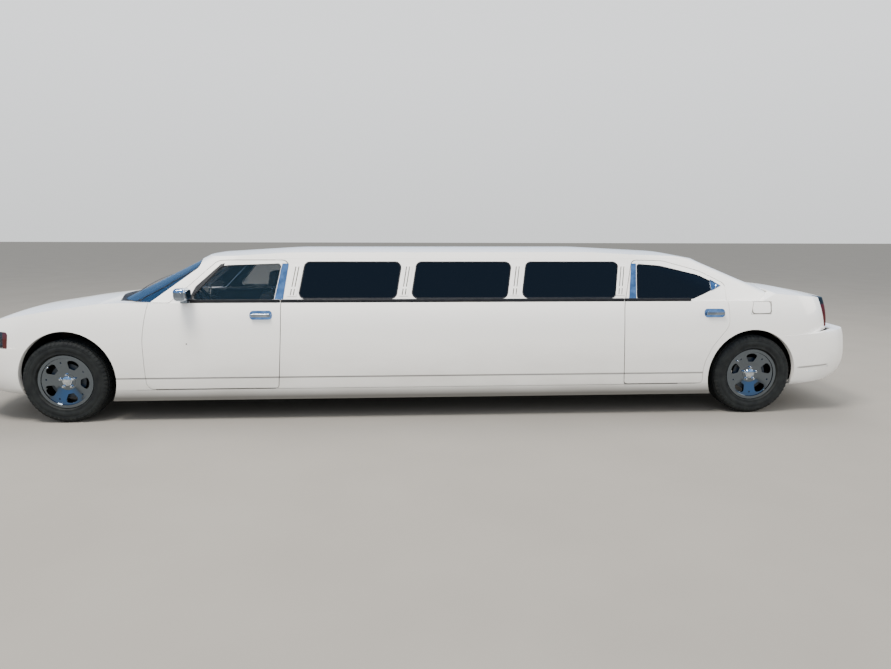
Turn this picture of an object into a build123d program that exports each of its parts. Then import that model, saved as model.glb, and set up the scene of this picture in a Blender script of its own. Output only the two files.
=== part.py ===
from build123d import *
from functools import cache
import math
import os

# A stretch limousine on a full-size sedan, in millimetres.
# +X is forward, +Y is the car's left and +Z is up. The origin is on the ground, mid-length.

# Driving dimensions of the whole car
WHEELBASE = 6096.0
FRONT_OVERHANG = 975.0
REAR_OVERHANG = 1059.0
BODY_WIDTH = 1891.0
TRACK = 1600.0
BELT = 1040.0
ROOF_CROWN = 1506.0

LENGTH = FRONT_OVERHANG + WHEELBASE + REAR_OVERHANG
FRONT_AXLE = LENGTH / 2 - FRONT_OVERHANG
REAR_AXLE = FRONT_AXLE - WHEELBASE
HALF_WIDTH = BODY_WIDTH / 2
HALF_TRACK = TRACK / 2

# Panels, walls and glass
DOOR_WALL = 110.0
FENDER_WALL = 55.0
PILLAR_WALL = 38.0
LID_WALL = 30.0
GLASS_RECESS = 5.0
GLASS_WALL = 6.0
SHUT_GAP = 6.0
SHUT_SLOPE = 0.25
SEAT_CLEARANCE = 0.3
LEDGE_WIDTH = 26.0

# Heights on the side
SILL_BOTTOM = 188.0
SILL_TOP = 286.0
DOOR_BOTTOM = SILL_TOP + SHUT_GAP
BUMPER_TOP = 765.0
ROOF_SEAM = 1410.0
TUMBLEHOME = 0.40
GLASS_HALF_WIDTH = 880.0

# Wheels and tyres
TYRE_RADIUS = 362.0
TYRE_WIDTH = 226.0
RIM_RADIUS = 216.0
RIM_FLANGE = 231.0
RIM_WALL = 9.0
RIM_WIDTH = 190.0
HUB_RADIUS = 78.0
SPINDLE_RADIUS = 22.0
SPOKES = 5
DISC_RADIUS = 150.0
DISC_WALL = 20.0
DISC_FROM = 24.0
HUB_FACE = 64.0

# Wheel arches: centres are set off from the axles as the bodywork is
FRONT_ARCH = (FRONT_AXLE - 30.0, 392.0, 412.0)
REAR_ARCH = (REAR_AXLE + 20.0, 372.0, 410.0)
LINER_RADIUS = 416.0
LINER_WALL = 6.0
LINER_INNER_Y = 470.0
LINER_RISE = 20.0

# Steering and axles
KINGPIN_Y = 790.0
BALL_JOINT_RISE = 122.0
ARM_HEIGHT = 22.0
STEER_GAP = 0.3

# Doors, counted from the axles so that a longer wheelbase only lengthens the stretch
B_SHUT = FRONT_AXLE - 1845.0
C_SHUT = REAR_AXLE + 1221.0
PILLAR_LEAN = 0.17

# Stretch windows
WINDOWS = 3
WINDOW_LOW = 1066.0
WINDOW_HIGH = 1388.0
WINDOW_PILLAR = 122.0
FIRST_PILLAR = 141.0
LAST_PILLAR = 70.0
WINDOW_CORNER = 55.0

FAR = 6000.0
SHARP = 1.0


# Outlines: corners are joined by tangent arcs, so every form is made of lines and arcs
def rounded_wire(corners, place):
    """corners: (a, b, radius) in a plane; place turns a, b into a point in space.
    A radius up to SHARP leaves the corner sharp."""
    count = len(corners)
    arcs = []
    for i in range(count):
        before, here, after = corners[i - 1], corners[i], corners[(i + 1) % count]
        if here[2] <= SHARP:
            arcs.append([place(*here[:2])] * 3)
            continue
        a, b, c = (Vector(*p[:2]) for p in (before, here, after))
        u, v = (a - b).normalized(), (c - b).normalized()
        half = math.acos(max(-1.0, min(1.0, u.dot(v)))) / 2
        reach = min(here[2] / math.tan(half), 0.48 * (a - b).length, 0.48 * (c - b).length)
        radius = reach * math.tan(half)
        middle = b + (u + v).normalized() * (radius / math.sin(half) - radius)
        arcs.append([place(p.X, p.Y) for p in (b + u * reach, middle, b + v * reach)])
    edges = []
    for i in range(count):
        if corners[i][2] > SHARP:
            edges.append(ThreePointArc(*arcs[i]))
        edges.append(Line(arcs[i][2], arcs[(i + 1) % count][0]))
    return Wire(edges)


def grow(corners, amounts):
    """Move each corner outward along its mitre; corners run counter-clockwise."""
    moved = []
    count = len(corners)
    for i in range(count):
        a, b, c = (Vector(*corners[j % count][:2]) for j in (i - 1, i, i + 1))
        u, v = (b - a).normalized(), (c - b).normalized()
        first, second = Vector(u.Y, -u.X), Vector(v.Y, -v.X)
        mitre = (first + second) / (1 + first.dot(second))
        point = b + mitre * amounts[i]
        moved.append((point.X, point.Y, corners[i][2]))
    return moved


def side_face(corners, y):
    return Face(rounded_wire(corners, lambda a, b: Vector(a, y, b)))


def side_prism(corners, y_from=0.0, y_to=1200.0):
    """Corners are (x, z, radius) in side view; the prism runs across the car."""
    return extrude(side_face(corners, y_from), amount=y_to - y_from, dir=(0, 1, 0))


def plan_prism(corners, z_from=-100.0, z_to=1700.0):
    face = Face(rounded_wire(corners, lambda a, b: Vector(a, b, z_from)))
    return extrude(face, amount=z_to - z_from, dir=(0, 0, 1))


def front_prism(corners, x_from, x_to):
    face = Face(rounded_wire(corners, lambda a, b: Vector(x_from, a, b)))
    return extrude(face, amount=x_to - x_from, dir=(1, 0, 0))


def block(x, y, z):
    """A box from three (low, high) pairs."""
    size = [high - low for low, high in (x, y, z)]
    middle = [(high + low) / 2 for low, high in (x, y, z)]
    return Pos(*middle) * Box(*size)


def both(shape):
    """The shape and its mirror image on the right side."""
    return [shape, mirror(shape, about=Plane.XZ)]


def cross_tube(x, z, radius, y_from, y_to):
    middle = (y_from + y_to) / 2
    return Pos(x, middle, z) * Rot(90, 0, 0) * Cylinder(radius, abs(y_to - y_from))


def solid_of(shapes):
    """Fuse overlapping pieces into one solid."""
    result = shapes[0]
    for shape in shapes[1:]:
        result = result + shape
    return result


# The outer form of the body below the belt
# height, nose set back, tail set forward, side set in
BODY_LEVELS = (
    (170.0, 140.0, 330.0, 50.0),
    (300.0, 60.0, 230.0, 20.0),
    (388.0, 40.0, 205.0, 9.0),
    (640.0, 35.0, 195.0, 0.0),
    (800.0, 70.0, 190.0, 5.0),
    (930.0, 130.0, 200.0, 20.0),
    (1060.0, 200.0, 225.0, 60.0),
    (1190.0, 280.0, 280.0, 130.0),
)

# The bumpers stand out from it
# height, nose set back, tail set forward, side set in
BUMPER_LEVELS = (
    (240.0, 110.0, 150.0, 48.0),
    (330.0, 30.0, 66.0, 14.0),
    (420.0, 8.0, 14.0, 3.0),
    (600.0, 0.0, 0.0, 0.0),
    (700.0, 12.0, 14.0, 1.0),
    (790.0, 50.0, 48.0, 6.0),
)

# Plan outline at the nose and the tail: set back, share of the half width, corner radius
NOSE_PLAN = [(0.0, 0.32, 900.0), (90.0, 0.73, 300.0), (430.0, 0.955, 700.0)]
TAIL_PLAN = [(0.0, 0.34, 900.0), (60.0, 0.76, 220.0), (300.0, 0.97, 500.0)]
SIDE_START = 250.0


def body_outline(nose, tail, half):
    """Plan corners, counter-clockwise from the right rear."""
    left = [(nose - back, share * half, radius) for back, share, radius in NOSE_PLAN]
    left += [(FRONT_AXLE - SIDE_START, half, 3000.0), (REAR_AXLE + SIDE_START, half, 3000.0)]
    left += [(tail + back, share * half, radius) for back, share, radius in reversed(TAIL_PLAN)]
    right = [(x, -y, radius) for x, y, radius in reversed(left)]
    return left + right


@cache
def stacked(levels, inset):
    """A loft through plan outlines, each set in by the same wall."""
    faces = []
    for height, nose, tail, side in levels:
        corners = body_outline(LENGTH / 2 - nose - inset, -LENGTH / 2 + tail + inset,
                               HALF_WIDTH - side - inset)
        faces.append(Face(rounded_wire(corners, lambda a, b, z=height: Vector(a, b, z))))
    return loft(faces)


# The line of hood, belt and deck in side view: x, height at the centre, height at the side, radius
HOOD_LINE = [
    (FRONT_AXLE + 1100.0, 640.0, 610.0, 50.0),
    (FRONT_AXLE + 905.0, 775.0, 725.0, 200.0),
    (FRONT_AXLE + 560.0, 955.0, 880.0, 700.0),
    (FRONT_AXLE + 60.0, 1032.0, 975.0, 1500.0),
    (FRONT_AXLE - 330.0, 1072.0, 1030.0, 300.0),
    (FRONT_AXLE - 480.0, BELT, BELT, 20.0),
]
DECK_LINE = [
    (REAR_AXLE - 60.0, BELT, BELT, 20.0),
    (REAR_AXLE - 190.0, 1160.0, 1085.0, 60.0),
    (REAR_AXLE - 500.0, 1128.0, 1060.0, 400.0),
    (REAR_AXLE - 790.0, 1076.0, 1010.0, 60.0),
    (REAR_AXLE - 1150.0, 800.0, 760.0, 50.0),
]
CROWN_Y = 950.0


@cache
def deck_form(drop):
    """Everything under the hood, belt and deck surfaces, lowered by drop."""
    faces = []
    for y, column in ((-CROWN_Y, 2), (0.0, 1), (CROWN_Y, 2)):
        line = [(row[0], row[column] - drop, row[3]) for row in HOOD_LINE + DECK_LINE]
        corners = [(-FAR, 0.0, 1.0), (FAR, 0.0, 1.0), (FAR, line[0][1], 1.0)] + line
        corners.append((-FAR, line[-1][1], 1.0))
        faces.append(side_face(corners, y))
    return loft(faces)


@cache
def lower_form(inset, drop):
    return stacked(BODY_LEVELS, inset) & deck_form(drop)


# The glass house
# height, how far the bow of the windshield and of the rear glass is drawn out
CABIN_LEVELS = [(1000.0, 1.0, 1.0), (1130.0, 0.85, 0.95), (1260.0, 0.7, 0.85), (1400.0, 0.55, 0.75),
                (1540.0, 0.45, 0.6)]
WINDSHIELD_BASE = FRONT_AXLE - 292.0
WINDSHIELD_RUN = 2.04
REAR_GLASS_BASE = REAR_AXLE - 500.0
REAR_GLASS_RUN = 2.45

# Plan outline of the glass house: set back, share of the half width, corner radius
SHIELD_PLAN = [(0.0, 0.30, 1500.0), (110.0, 0.68, 500.0), (300.0, 0.90, 220.0), (620.0, 1.0, 900.0)]
BACKLIGHT_PLAN = [(0.0, 0.30, 1500.0), (70.0, 0.66, 500.0), (210.0, 0.89, 240.0), (720.0, 1.0, 1500.0)]


def glass_half(height):
    return GLASS_HALF_WIDTH - TUMBLEHOME * (height - BELT)


def cabin_outline(height, front_bow, rear_bow, inset):
    half = glass_half(height) - inset
    nose = WINDSHIELD_BASE - WINDSHIELD_RUN * (height - BELT) - inset * 2.2
    tail = REAR_GLASS_BASE + REAR_GLASS_RUN * (height - BELT) + inset * 2.6
    left = [(nose - back * front_bow, share * half, r) for back, share, r in SHIELD_PLAN]
    left += [(tail + back * rear_bow, share * half, r) for back, share, r in reversed(BACKLIGHT_PLAN)]
    return left + [(x, -y, r) for x, y, r in reversed(left)]


# The roof in side view: x, height under the crown, radius
ROOF_LINE = [
    (FRONT_AXLE - 900.0, 100.0, 200.0),
    (FRONT_AXLE - 1180.0, 50.0, 500.0),
    (FRONT_AXLE - 1900.0, 5.0, 2500.0),
    (REAR_AXLE + 1500.0, 0.0, 2500.0),
    (REAR_AXLE + 700.0, 40.0, 700.0),
    (REAR_AXLE + 300.0, 110.0, 200.0),
]
ROOF_ENDS = (REAR_AXLE - 1200.0, FRONT_AXLE + 600.0)
ROOF_DROP = 66.0
ROOF_DROP_Y = 735.0


@cache
def roof_form(drop):
    faces = []
    for y in (-ROOF_DROP_Y, 0.0, ROOF_DROP_Y):
        fall = ROOF_DROP * (abs(y) / ROOF_DROP_Y) ** 2 + drop
        line = [(x, ROOF_CROWN - under - fall, radius) for x, under, radius in ROOF_LINE]
        ends = [(ROOF_ENDS[0], BELT - 140.0, 1.0), (ROOF_ENDS[1], BELT - 140.0, 1.0)]
        ends.append((ROOF_ENDS[1], line[0][1] - 300.0, 1.0))
        tail = [(ROOF_ENDS[0], line[-1][1] - 180.0, 1.0)]
        faces.append(side_face(ends + line + tail, y * 1.3))
    return loft(faces)


@cache
def upper_form(inset, drop):
    faces = []
    for height, front_bow, rear_bow in CABIN_LEVELS:
        corners = cabin_outline(height, front_bow, rear_bow, inset)
        faces.append(Face(rounded_wire(corners, lambda a, b, z=height: Vector(a, b, z))))
    return loft(faces) & roof_form(drop)


@cache
def house_form():
    """The glass house above the belt, hood and deck surfaces."""
    return upper_form(0.0, 0.0) - deck_form(0.0)


# Shut lines and openings in side view, counter-clockwise: x, z, corner radius
FRONT_DOOR = [
    (B_SHUT + 31.0, DOOR_BOTTOM, 25.0),
    (FRONT_AXLE - 691.0, DOOR_BOTTOM, 60.0),
    (FRONT_AXLE - 683.0, 730.0, 900.0),
    (FRONT_AXLE - 737.0, BELT + 1.0, 10.0),
    (FRONT_AXLE - 900.0, BELT + 1.0, 20.0),
    (FRONT_AXLE - 1280.0, 1400.0, 90.0),
    (B_SHUT - 72.0, 1400.0, 50.0),
    (B_SHUT, 1030.0, 400.0),
]
REAR_DOOR = [
    (REAR_AXLE + 476.0, DOOR_BOTTOM, 25.0),
    (C_SHUT - 15.0, DOOR_BOTTOM, 25.0),
    (C_SHUT, 1000.0, 400.0),
    (C_SHUT - 95.0, 1400.0, 50.0),
    (REAR_AXLE + 830.0, 1398.0, 300.0),
    (REAR_AXLE + 476.0, 1312.0, 400.0),
    (REAR_AXLE + 236.0, 1190.0, 40.0),
    (REAR_AXLE + 275.0, 1060.0, 200.0),
    (REAR_AXLE + 261.0, 820.0, 150.0),
    (REAR_AXLE + 406.0, 640.0, 300.0),
    (REAR_AXLE + 485.0, 470.0, 400.0),
]
FRONT_GLASS = [
    (B_SHUT + 59.0, 1056.0, 25.0),
    (FRONT_AXLE - 1060.0, 1056.0, 30.0),
    (FRONT_AXLE - 1330.0, 1354.0, 120.0),
    (B_SHUT, 1372.0, 30.0),
]
REAR_GLASS = [
    (REAR_AXLE + 584.0, 1056.0, 40.0),
    (C_SHUT - 116.0, 1056.0, 25.0),
    (C_SHUT - 143.0, 1368.0, 25.0),
    (REAR_AXLE + 866.0, 1352.0, 300.0),
    (REAR_AXLE + 504.0, 1268.0, 400.0),
    (REAR_AXLE + 302.0, 1173.0, 30.0),
]
SHUT_PLANE = 960.0
SHUT_INNER = 640.0

# The windshield's opening reaches round to its pillars and is seen from the side: x, z, radius
WINDSHIELD = [(FRONT_AXLE - 612.0, 950.0, SHARP), (FAR, 950.0, SHARP), (FAR, 1404.0, SHARP),
              (FRONT_AXLE - 1211.0, 1404.0, 45.0)]

# The rear glass's opening is seen from behind: y, z, radius
BACKLIGHT = [(-640.0, 1150.0, 60.0), (640.0, 1150.0, 60.0), (560.0, 1400.0, 70.0), (-560.0, 1400.0, 70.0)]

# Lids in plan: x, y, radius
HOOD = [
    (FRONT_AXLE - 200.0, 0.0, 2500.0),
    (FRONT_AXLE - 440.0, -742.0, 40.0),
    (FRONT_AXLE + 380.0, -716.0, 900.0),
    (FRONT_AXLE + 700.0, -640.0, 300.0),
    (FRONT_AXLE + 850.0, -420.0, 200.0),
    (FRONT_AXLE + 890.0, 0.0, 2500.0),
    (FRONT_AXLE + 850.0, 420.0, 200.0),
    (FRONT_AXLE + 700.0, 640.0, 300.0),
    (FRONT_AXLE + 380.0, 716.0, 900.0),
    (FRONT_AXLE - 440.0, 742.0, 40.0),
]
TRUNK_FRONT = REAR_AXLE - 400.0
TRUNK_SIDE = 610.0
LID_BOTTOM = 785.0


def skin_y(height):
    return min(HALF_WIDTH, glass_half(height) + 14.0)


def shut_prism(outline, clear):
    """A door-shaped plug whose faces close inward, so that the door swings out clear."""
    depth = [SHUT_SLOPE * (SHUT_PLANE - skin_y(z)) + clear for _, z, _ in outline]
    outer = grow(outline, depth)
    inner = grow(outer, [-SHUT_SLOPE * (SHUT_PLANE - SHUT_INNER)] * len(outline))
    return loft([side_face(outer, SHUT_PLANE), side_face(inner, SHUT_INNER)], ruled=True)


def fixed(outline, clear):
    return grow(outline, [clear] * len(outline))


def arch_cutter(arch, extra=0.0):
    x, z, radius = arch
    return cross_tube(x, z, radius + extra, 500.0, 1200.0)


def window_outline(index):
    pitch = (B_SHUT - C_SHUT - FIRST_PILLAR - LAST_PILLAR + WINDOW_PILLAR) / WINDOWS
    front = B_SHUT - FIRST_PILLAR - index * pitch
    rear = front - pitch + WINDOW_PILLAR
    lean = PILLAR_LEAN * (WINDOW_HIGH - WINDOW_LOW)
    return [(rear, WINDOW_LOW, WINDOW_CORNER), (front, WINDOW_LOW, WINDOW_CORNER),
            (front - lean, WINDOW_HIGH, WINDOW_CORNER), (rear - lean, WINDOW_HIGH, WINDOW_CORNER)]


# Lines pressed along the side, the crease across the doors and the one above the sills: x rear, x front,
# z rear, z front, height, half width at its bottom
CREASES = [
    (REAR_AXLE + 600.0, FRONT_AXLE - 557.0, 384.0, 393.0, 5.0, HALF_WIDTH - 12.5),
    (REAR_AXLE + 540.0, FRONT_AXLE - 600.0, SILL_TOP, SILL_TOP, 5.0, HALF_WIDTH - 27.0),
]


def crease(rear, front, low_rear, low_front, height, bottom):
    band = [(rear, low_rear, SHARP), (front, low_front, SHARP), (front, low_front + height, SHARP),
            (rear, low_rear + height, SHARP)]
    return both(side_prism(band, bottom))


# Forms used by many panels, made once
LOWER = lower_form(0.0, 0.0) - [line for row in CREASES for line in crease(*row)]
LOWER_DOOR = block((-FAR, FAR), (-HALF_WIDTH + DOOR_WALL, HALF_WIDTH - DOOR_WALL), (-100.0, 1300.0))
LOWER_FENDER = lower_form(FENDER_WALL, LID_WALL + 16.0)
LOWER_LID = lower_form(LID_WALL, LID_WALL)
DECK = deck_form(-SEAT_CLEARANCE)
UPPER = upper_form(0.0, 0.0) - DECK
UPPER_INNER = upper_form(PILLAR_WALL, PILLAR_WALL)
CABIN_SHELL = UPPER - UPPER_INNER
GLASS_SHELL = upper_form(GLASS_RECESS, GLASS_RECESS) - upper_form(GLASS_RECESS + GLASS_WALL,
                                                                 GLASS_RECESS + GLASS_WALL) - DECK
FRONT_SHUT = shut_prism(FRONT_DOOR, SHUT_GAP)
REAR_SHUT = shut_prism(REAR_DOOR, SHUT_GAP)
SHUTS = [FRONT_SHUT, REAR_SHUT]
SEAM = 0.6
SILL_INNER = HALF_WIDTH - DOOR_WALL - 20.0


def cut(shape, *tools):
    return shape - list(tools)


def half_space_z(low, high):
    return block((-FAR, FAR), (-1500, 1500), (low, high))


def door(outline, glass, arch):
    """Left door: thick lower shell and thin window frame, cut by its own shut line."""
    plug = shut_prism(outline, 0.0)
    lower = (LOWER & plug) - LOWER_DOOR
    upper = (house_form() & plug) - UPPER_INNER
    opening = side_prism(glass, 500.0)
    return cut(lower + upper, opening, arch_cutter(arch, 12.0))


def door_glass(glass):
    return GLASS_SHELL & side_prism(fixed(glass, -SEAT_CLEARANCE), 500.0)


def hood_prism(clear):
    return plan_prism(fixed(HOOD, clear), 500.0)


def trunk_prism(clear):
    side = TRUNK_SIDE + clear
    corners = [(TRUNK_FRONT + clear, -side, 60.0), (TRUNK_FRONT + clear, side, 60.0),
               (-FAR, side, 1.0), (-FAR, -side, 1.0)]
    return plan_prism(corners, LID_BOTTOM - clear)


def hood_pocket():
    return hood_prism(SHUT_GAP) - lower_form(LID_WALL + SEAT_CLEARANCE, LID_WALL + SEAT_CLEARANCE)


def hood():
    return (LOWER & hood_prism(0.0)) - LOWER_LID


def trunk_lid():
    return (LOWER & trunk_prism(0.0)) - LOWER_LID


FRONT_SPLIT = 655.0
LAMP_REAR = FRONT_AXLE + 456.0
LAMP_TOP = 796.0
GRILLE_HALF = 424.0
GRILLE_BOTTOM = 560.0
GRILLE_SPACES = 17
GRILLE_BAR = 8.0


def headlamp_zone(clear):
    side = [(LAMP_REAR - clear, FRONT_SPLIT - clear, 10.0), (FAR, FRONT_SPLIT - clear, 1.0),
            (FAR, LAMP_TOP + clear, 1.0), (LAMP_REAR - 14.0 - clear, LAMP_TOP + clear, 30.0)]
    return side_prism(side, GRILLE_HALF + SEAM - clear, 1200.0)


def fender_left():
    rear = FRONT_AXLE - 760.0
    zone = block((rear, FRONT_AXLE + 880.0), (716.0 - 300.0, 1200.0), (SILL_TOP + SEAM, 1300.0))
    shell = (LOWER & zone) - LOWER_FENDER
    inner = plan_prism([(rear, -900.0, 1.0), (FRONT_AXLE + 900.0, -900.0, 1.0),
                        (FRONT_AXLE + 900.0, 560.0 - LEDGE_WIDTH, 1.0),
                        (FRONT_AXLE + 700.0, 640.0 - LEDGE_WIDTH, 1.0),
                        (FRONT_AXLE + 380.0, 716.0 - LEDGE_WIDTH, 1.0), (rear, 742.0 - LEDGE_WIDTH, 1.0)])
    front = block((FRONT_AXLE, FAR), (0.0, 1200.0), (0.0, FRONT_SPLIT + SEAM))
    return cut(shell, inner, front, hood_pocket(), headlamp_zone(SEAM), FRONT_SHUT, arch_cutter(FRONT_ARCH))


def stretch_left():
    """Side of the stretch: wall below the belt, window pillars above it."""
    side = [(C_SHUT - 20.0, SILL_TOP + SEAM, 1.0), (B_SHUT + 60.0, SILL_TOP + SEAM, 1.0),
            (B_SHUT + 60.0, ROOF_SEAM, 1.0), (C_SHUT - 130.0, ROOF_SEAM, 1.0), (C_SHUT - 130.0, 900.0, 1.0),
            (C_SHUT - 20.0, 900.0, 1.0)]
    zone = side_prism(side, 500.0)
    lower = (LOWER & zone) - LOWER_DOOR
    upper = (house_form() & zone) - UPPER_INNER
    windows = [side_prism(window_outline(i), 500.0) for i in range(WINDOWS)]
    return cut(lower + upper, *windows, *SHUTS)


QUARTER_FRONT = REAR_AXLE + 700.0
FUEL_DOOR = [(REAR_AXLE - 134.0, 925.0, 26.0), (REAR_AXLE + 48.0, 925.0, 26.0),
             (REAR_AXLE + 48.0, 1040.0, 26.0), (REAR_AXLE - 134.0, 1040.0, 26.0)]
LINE_WIDTH = 3.0
LINE_DEPTH = 2.5


def fuel_door_line():
    ring = side_prism(FUEL_DOOR, 500.0) - side_prism(fixed(FUEL_DOOR, -LINE_WIDTH), 500.0)
    return ring - stacked(BODY_LEVELS, LINE_DEPTH)


def tail_lamp_zone(clear):
    side = [(-FAR, LID_BOTTOM - clear, 1.0), (REAR_AXLE - 734.0 + clear, LID_BOTTOM - clear, 10.0),
            (REAR_AXLE - 654.0 + clear, 1046.0 + clear, 10.0), (REAR_AXLE - 654.0 + clear, 1200.0, 1.0),
            (-FAR, 1200.0, 1.0)]
    return side_prism(side, TRUNK_SIDE + SHUT_GAP - clear, 1200.0)


def rear_bumper_zone(clear):
    side = [(-FAR, 0.0, 1.0), (REAR_AXLE, 0.0, 1.0), (REAR_AXLE, 690.0 + clear, 1.0),
            (REAR_AXLE - 380.0, 726.0 + clear, 200.0), (REAR_AXLE - 800.0, BUMPER_TOP + clear, 100.0),
            (-FAR, BUMPER_TOP + clear, 1.0)]
    return side_prism(side, -1200.0, 1200.0)


def quarters():
    """Both quarter panels, the rear pillars and the deck between glass and lid."""
    zone = block((-FAR, QUARTER_FRONT), (-1200.0, 1200.0), (SILL_TOP + SEAM, 1300.0))
    lower = (LOWER & zone) - LOWER_FENDER
    cabin = block((REAR_AXLE - 190.0, QUARTER_FRONT), (-730.0, 730.0), (900.0, 1300.0))
    lid = trunk_prism(SHUT_GAP) - lower_form(LID_WALL + SEAT_CLEARANCE, LID_WALL + SEAT_CLEARANCE)
    hole = trunk_prism(-LEDGE_WIDTH)
    pillar = (house_form() & half_space_z(BELT - 1.0, ROOF_SEAM)) - UPPER_INNER
    pillar = pillar & block((-FAR, C_SHUT - 130.0 - SEAM), (-1200.0, 1200.0), (0.0, 1600.0))
    glass = front_prism(BACKLIGHT, -FAR, REAR_AXLE + 600.0)
    shape = cut(lower, cabin) + cut(pillar, glass)
    tools = [lid, hole, rear_bumper_zone(SEAM)]
    tools.append(fuel_door_line())
    for tool in (tail_lamp_zone(SEAM), REAR_SHUT, arch_cutter(REAR_ARCH)):
        tools += both(tool)
    return cut(shape, *tools)


def roof():
    sides = side_prism([(REAR_AXLE - 900.0, 800.0, 1.0), (B_SHUT + 60.0 + SEAM, 800.0, 1.0),
                        (B_SHUT + 60.0 + SEAM, ROOF_SEAM + SEAM, 1.0),
                        (REAR_AXLE - 900.0, ROOF_SEAM + SEAM, 1.0)], -1200.0)
    shield = side_prism(WINDSHIELD, -1200.0)
    backlight = front_prism(BACKLIGHT, -FAR, REAR_AXLE + 600.0)
    return cut(CABIN_SHELL, sides, shield, backlight, *both(FRONT_SHUT), *both(REAR_SHUT))


def fixed_glass():
    shield = GLASS_SHELL & side_prism(fixed(WINDSHIELD, -SEAT_CLEARANCE), -1200.0)
    backlight = GLASS_SHELL & front_prism(fixed(BACKLIGHT, -SEAT_CLEARANCE), -FAR, REAR_AXLE + 600.0)
    panes = [shield, backlight]
    for i in range(WINDOWS):
        panes += both(GLASS_SHELL & side_prism(fixed(window_outline(i), -SEAT_CLEARANCE), 500.0))
    return panes


def sill_left():
    front, rear = FRONT_ARCH[0], REAR_ARCH[0]
    wall = LOWER & block((rear, front), (SILL_INNER, 1200), (SILL_BOTTOM, SILL_TOP))
    lips = block((REAR_AXLE + 500.0, FRONT_AXLE - 560.0),
                 (SILL_INNER, HALF_WIDTH - DOOR_WALL - SEAT_CLEARANCE),
                 (SILL_TOP - 20.0, SILL_TOP + 40.0))
    return cut(wall + lips, arch_cutter(FRONT_ARCH), arch_cutter(REAR_ARCH))


def bumper_shell():
    return stacked(BUMPER_LEVELS, 0.0) - stacked(BUMPER_LEVELS, 50.0)


def front_bumper():
    zone = block((FRONT_AXLE + 100.0, FAR), (-1200, 1200), (0.0, FRONT_SPLIT))
    grille = block((FRONT_AXLE + 500.0, FAR), (-GRILLE_HALF - SEAM, GRILLE_HALF + SEAM),
                   (GRILLE_BOTTOM - SEAM, 900.0))
    intake = front_prism([(-430.0, 320.0, 40.0), (430.0, 320.0, 40.0), (460.0, 410.0, 40.0),
                          (-460.0, 410.0, 40.0)], FRONT_AXLE + 600.0, FAR)
    rise = side_prism([(FRONT_AXLE, 0.0, 1.0), (FAR, 0.0, 1.0), (FAR, 420.0, 1.0),
                       (FRONT_AXLE + 360.0, 250.0, 1.0), (FRONT_AXLE, 240.0, 1.0)], -1200.0)
    return cut(bumper_shell() & zone, grille, intake, rise, *both(arch_cutter(FRONT_ARCH)))


# The short crease low on each side of the rear bumper
REAR_CREASE = [(REAR_AXLE - 724.0, 430.0, SHARP), (REAR_AXLE - 455.0, 421.0, SHARP),
               (REAR_AXLE - 455.0, 426.0, SHARP), (REAR_AXLE - 724.0, 437.0, SHARP)]
REAR_CREASE_DEPTH = 5.0
TAIL_WALL = REAR_AXLE - 820.0


def rear_bumper():
    zone = rear_bumper_zone(0.0) & block((-FAR, REAR_AXLE - 100.0), (-1200, 1200), (0, 900))
    rise = side_prism([(-FAR, 0.0, 1.0), (REAR_AXLE, 0.0, 1.0), (REAR_AXLE, 250.0, 1.0),
                       (REAR_AXLE - 360.0, 262.0, 1.0), (REAR_AXLE - 800.0, 316.0, 1.0),
                       (-FAR, 330.0, 1.0)], -1200.0)
    deck = stacked(BUMPER_LEVELS, 0.0) & block((-FAR, TAIL_WALL - 10.0), (-900.0, 900.0),
                                               (BUMPER_TOP - 32.0, BUMPER_TOP - 2.0))
    crease_line = side_prism(REAR_CREASE, -1200.0) - stacked(BUMPER_LEVELS, REAR_CREASE_DEPTH)
    shape = (bumper_shell() & zone) + deck
    return cut(shape, rise, crease_line, *both(arch_cutter(REAR_ARCH)))


def grille():
    """Frame and upright bars across the nose, fused."""
    zone = block((FRONT_AXLE + 700.0, FAR), (-GRILLE_HALF, GRILLE_HALF), (GRILLE_BOTTOM, 900.0))
    solid = (LOWER & zone) - lower_form(45.0, 45.0)
    solid = cut(solid, hood_prism(SHUT_GAP))
    opening = front_prism([(-GRILLE_HALF + 24.0, GRILLE_BOTTOM + 20.0, 20.0),
                           (GRILLE_HALF - 24.0, GRILLE_BOTTOM + 20.0, 20.0),
                           (GRILLE_HALF - 60.0, 738.0, 30.0), (-GRILLE_HALF + 60.0, 738.0, 30.0)],
                          FRONT_AXLE + 600.0, FAR)
    bars = []
    for i in range(1, GRILLE_SPACES):
        y = -GRILLE_HALF + 2 * GRILLE_HALF * i / GRILLE_SPACES
        bars.append(block((FRONT_AXLE + 500.0, FAR), (y - GRILLE_BAR / 2, y + GRILLE_BAR / 2),
                          (GRILLE_BOTTOM, 800.0)))
    return cut(solid, opening - bars)


def headlamps():
    lamp = ((LOWER & headlamp_zone(0.0)) - lower_form(80.0, 80.0)) - hood_pocket()
    cab = block((FRONT_AXLE, FAR), (0, 1200), (FRONT_SPLIT, LAMP_TOP))
    return both(lamp & cab)


def tail_lamps():
    return both((LOWER & tail_lamp_zone(0.0)) - lower_form(70.0, 70.0))


FLOOR_BOTTOM = 200.0
FLOOR_TOP = 232.0
FIREWALL = FRONT_AXLE - 530.0
FIREWALL_THICKNESS = 20.0


def cowl():
    """Firewall with the cowl top under the windshield."""
    reach = SILL_INNER - SEAT_CLEARANCE
    wall = block((FIREWALL, FIREWALL + FIREWALL_THICKNESS), (-reach, reach),
                 (FLOOR_TOP + SEAT_CLEARANCE, 1010.0))
    wall = cut(wall, half_space_z(940.0, 1100.0) - block((-FAR, FAR), (-690.0, 690.0), (900.0, 1200.0)))
    top = LOWER & block((FIREWALL - 10.0, FRONT_AXLE - 150.0), (-698.0, 698.0), (900.0, 1200.0))
    top = top - deck_form(40.0)
    return cut(wall + top, hood_pocket(), hood_prism(SHUT_GAP))


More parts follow.
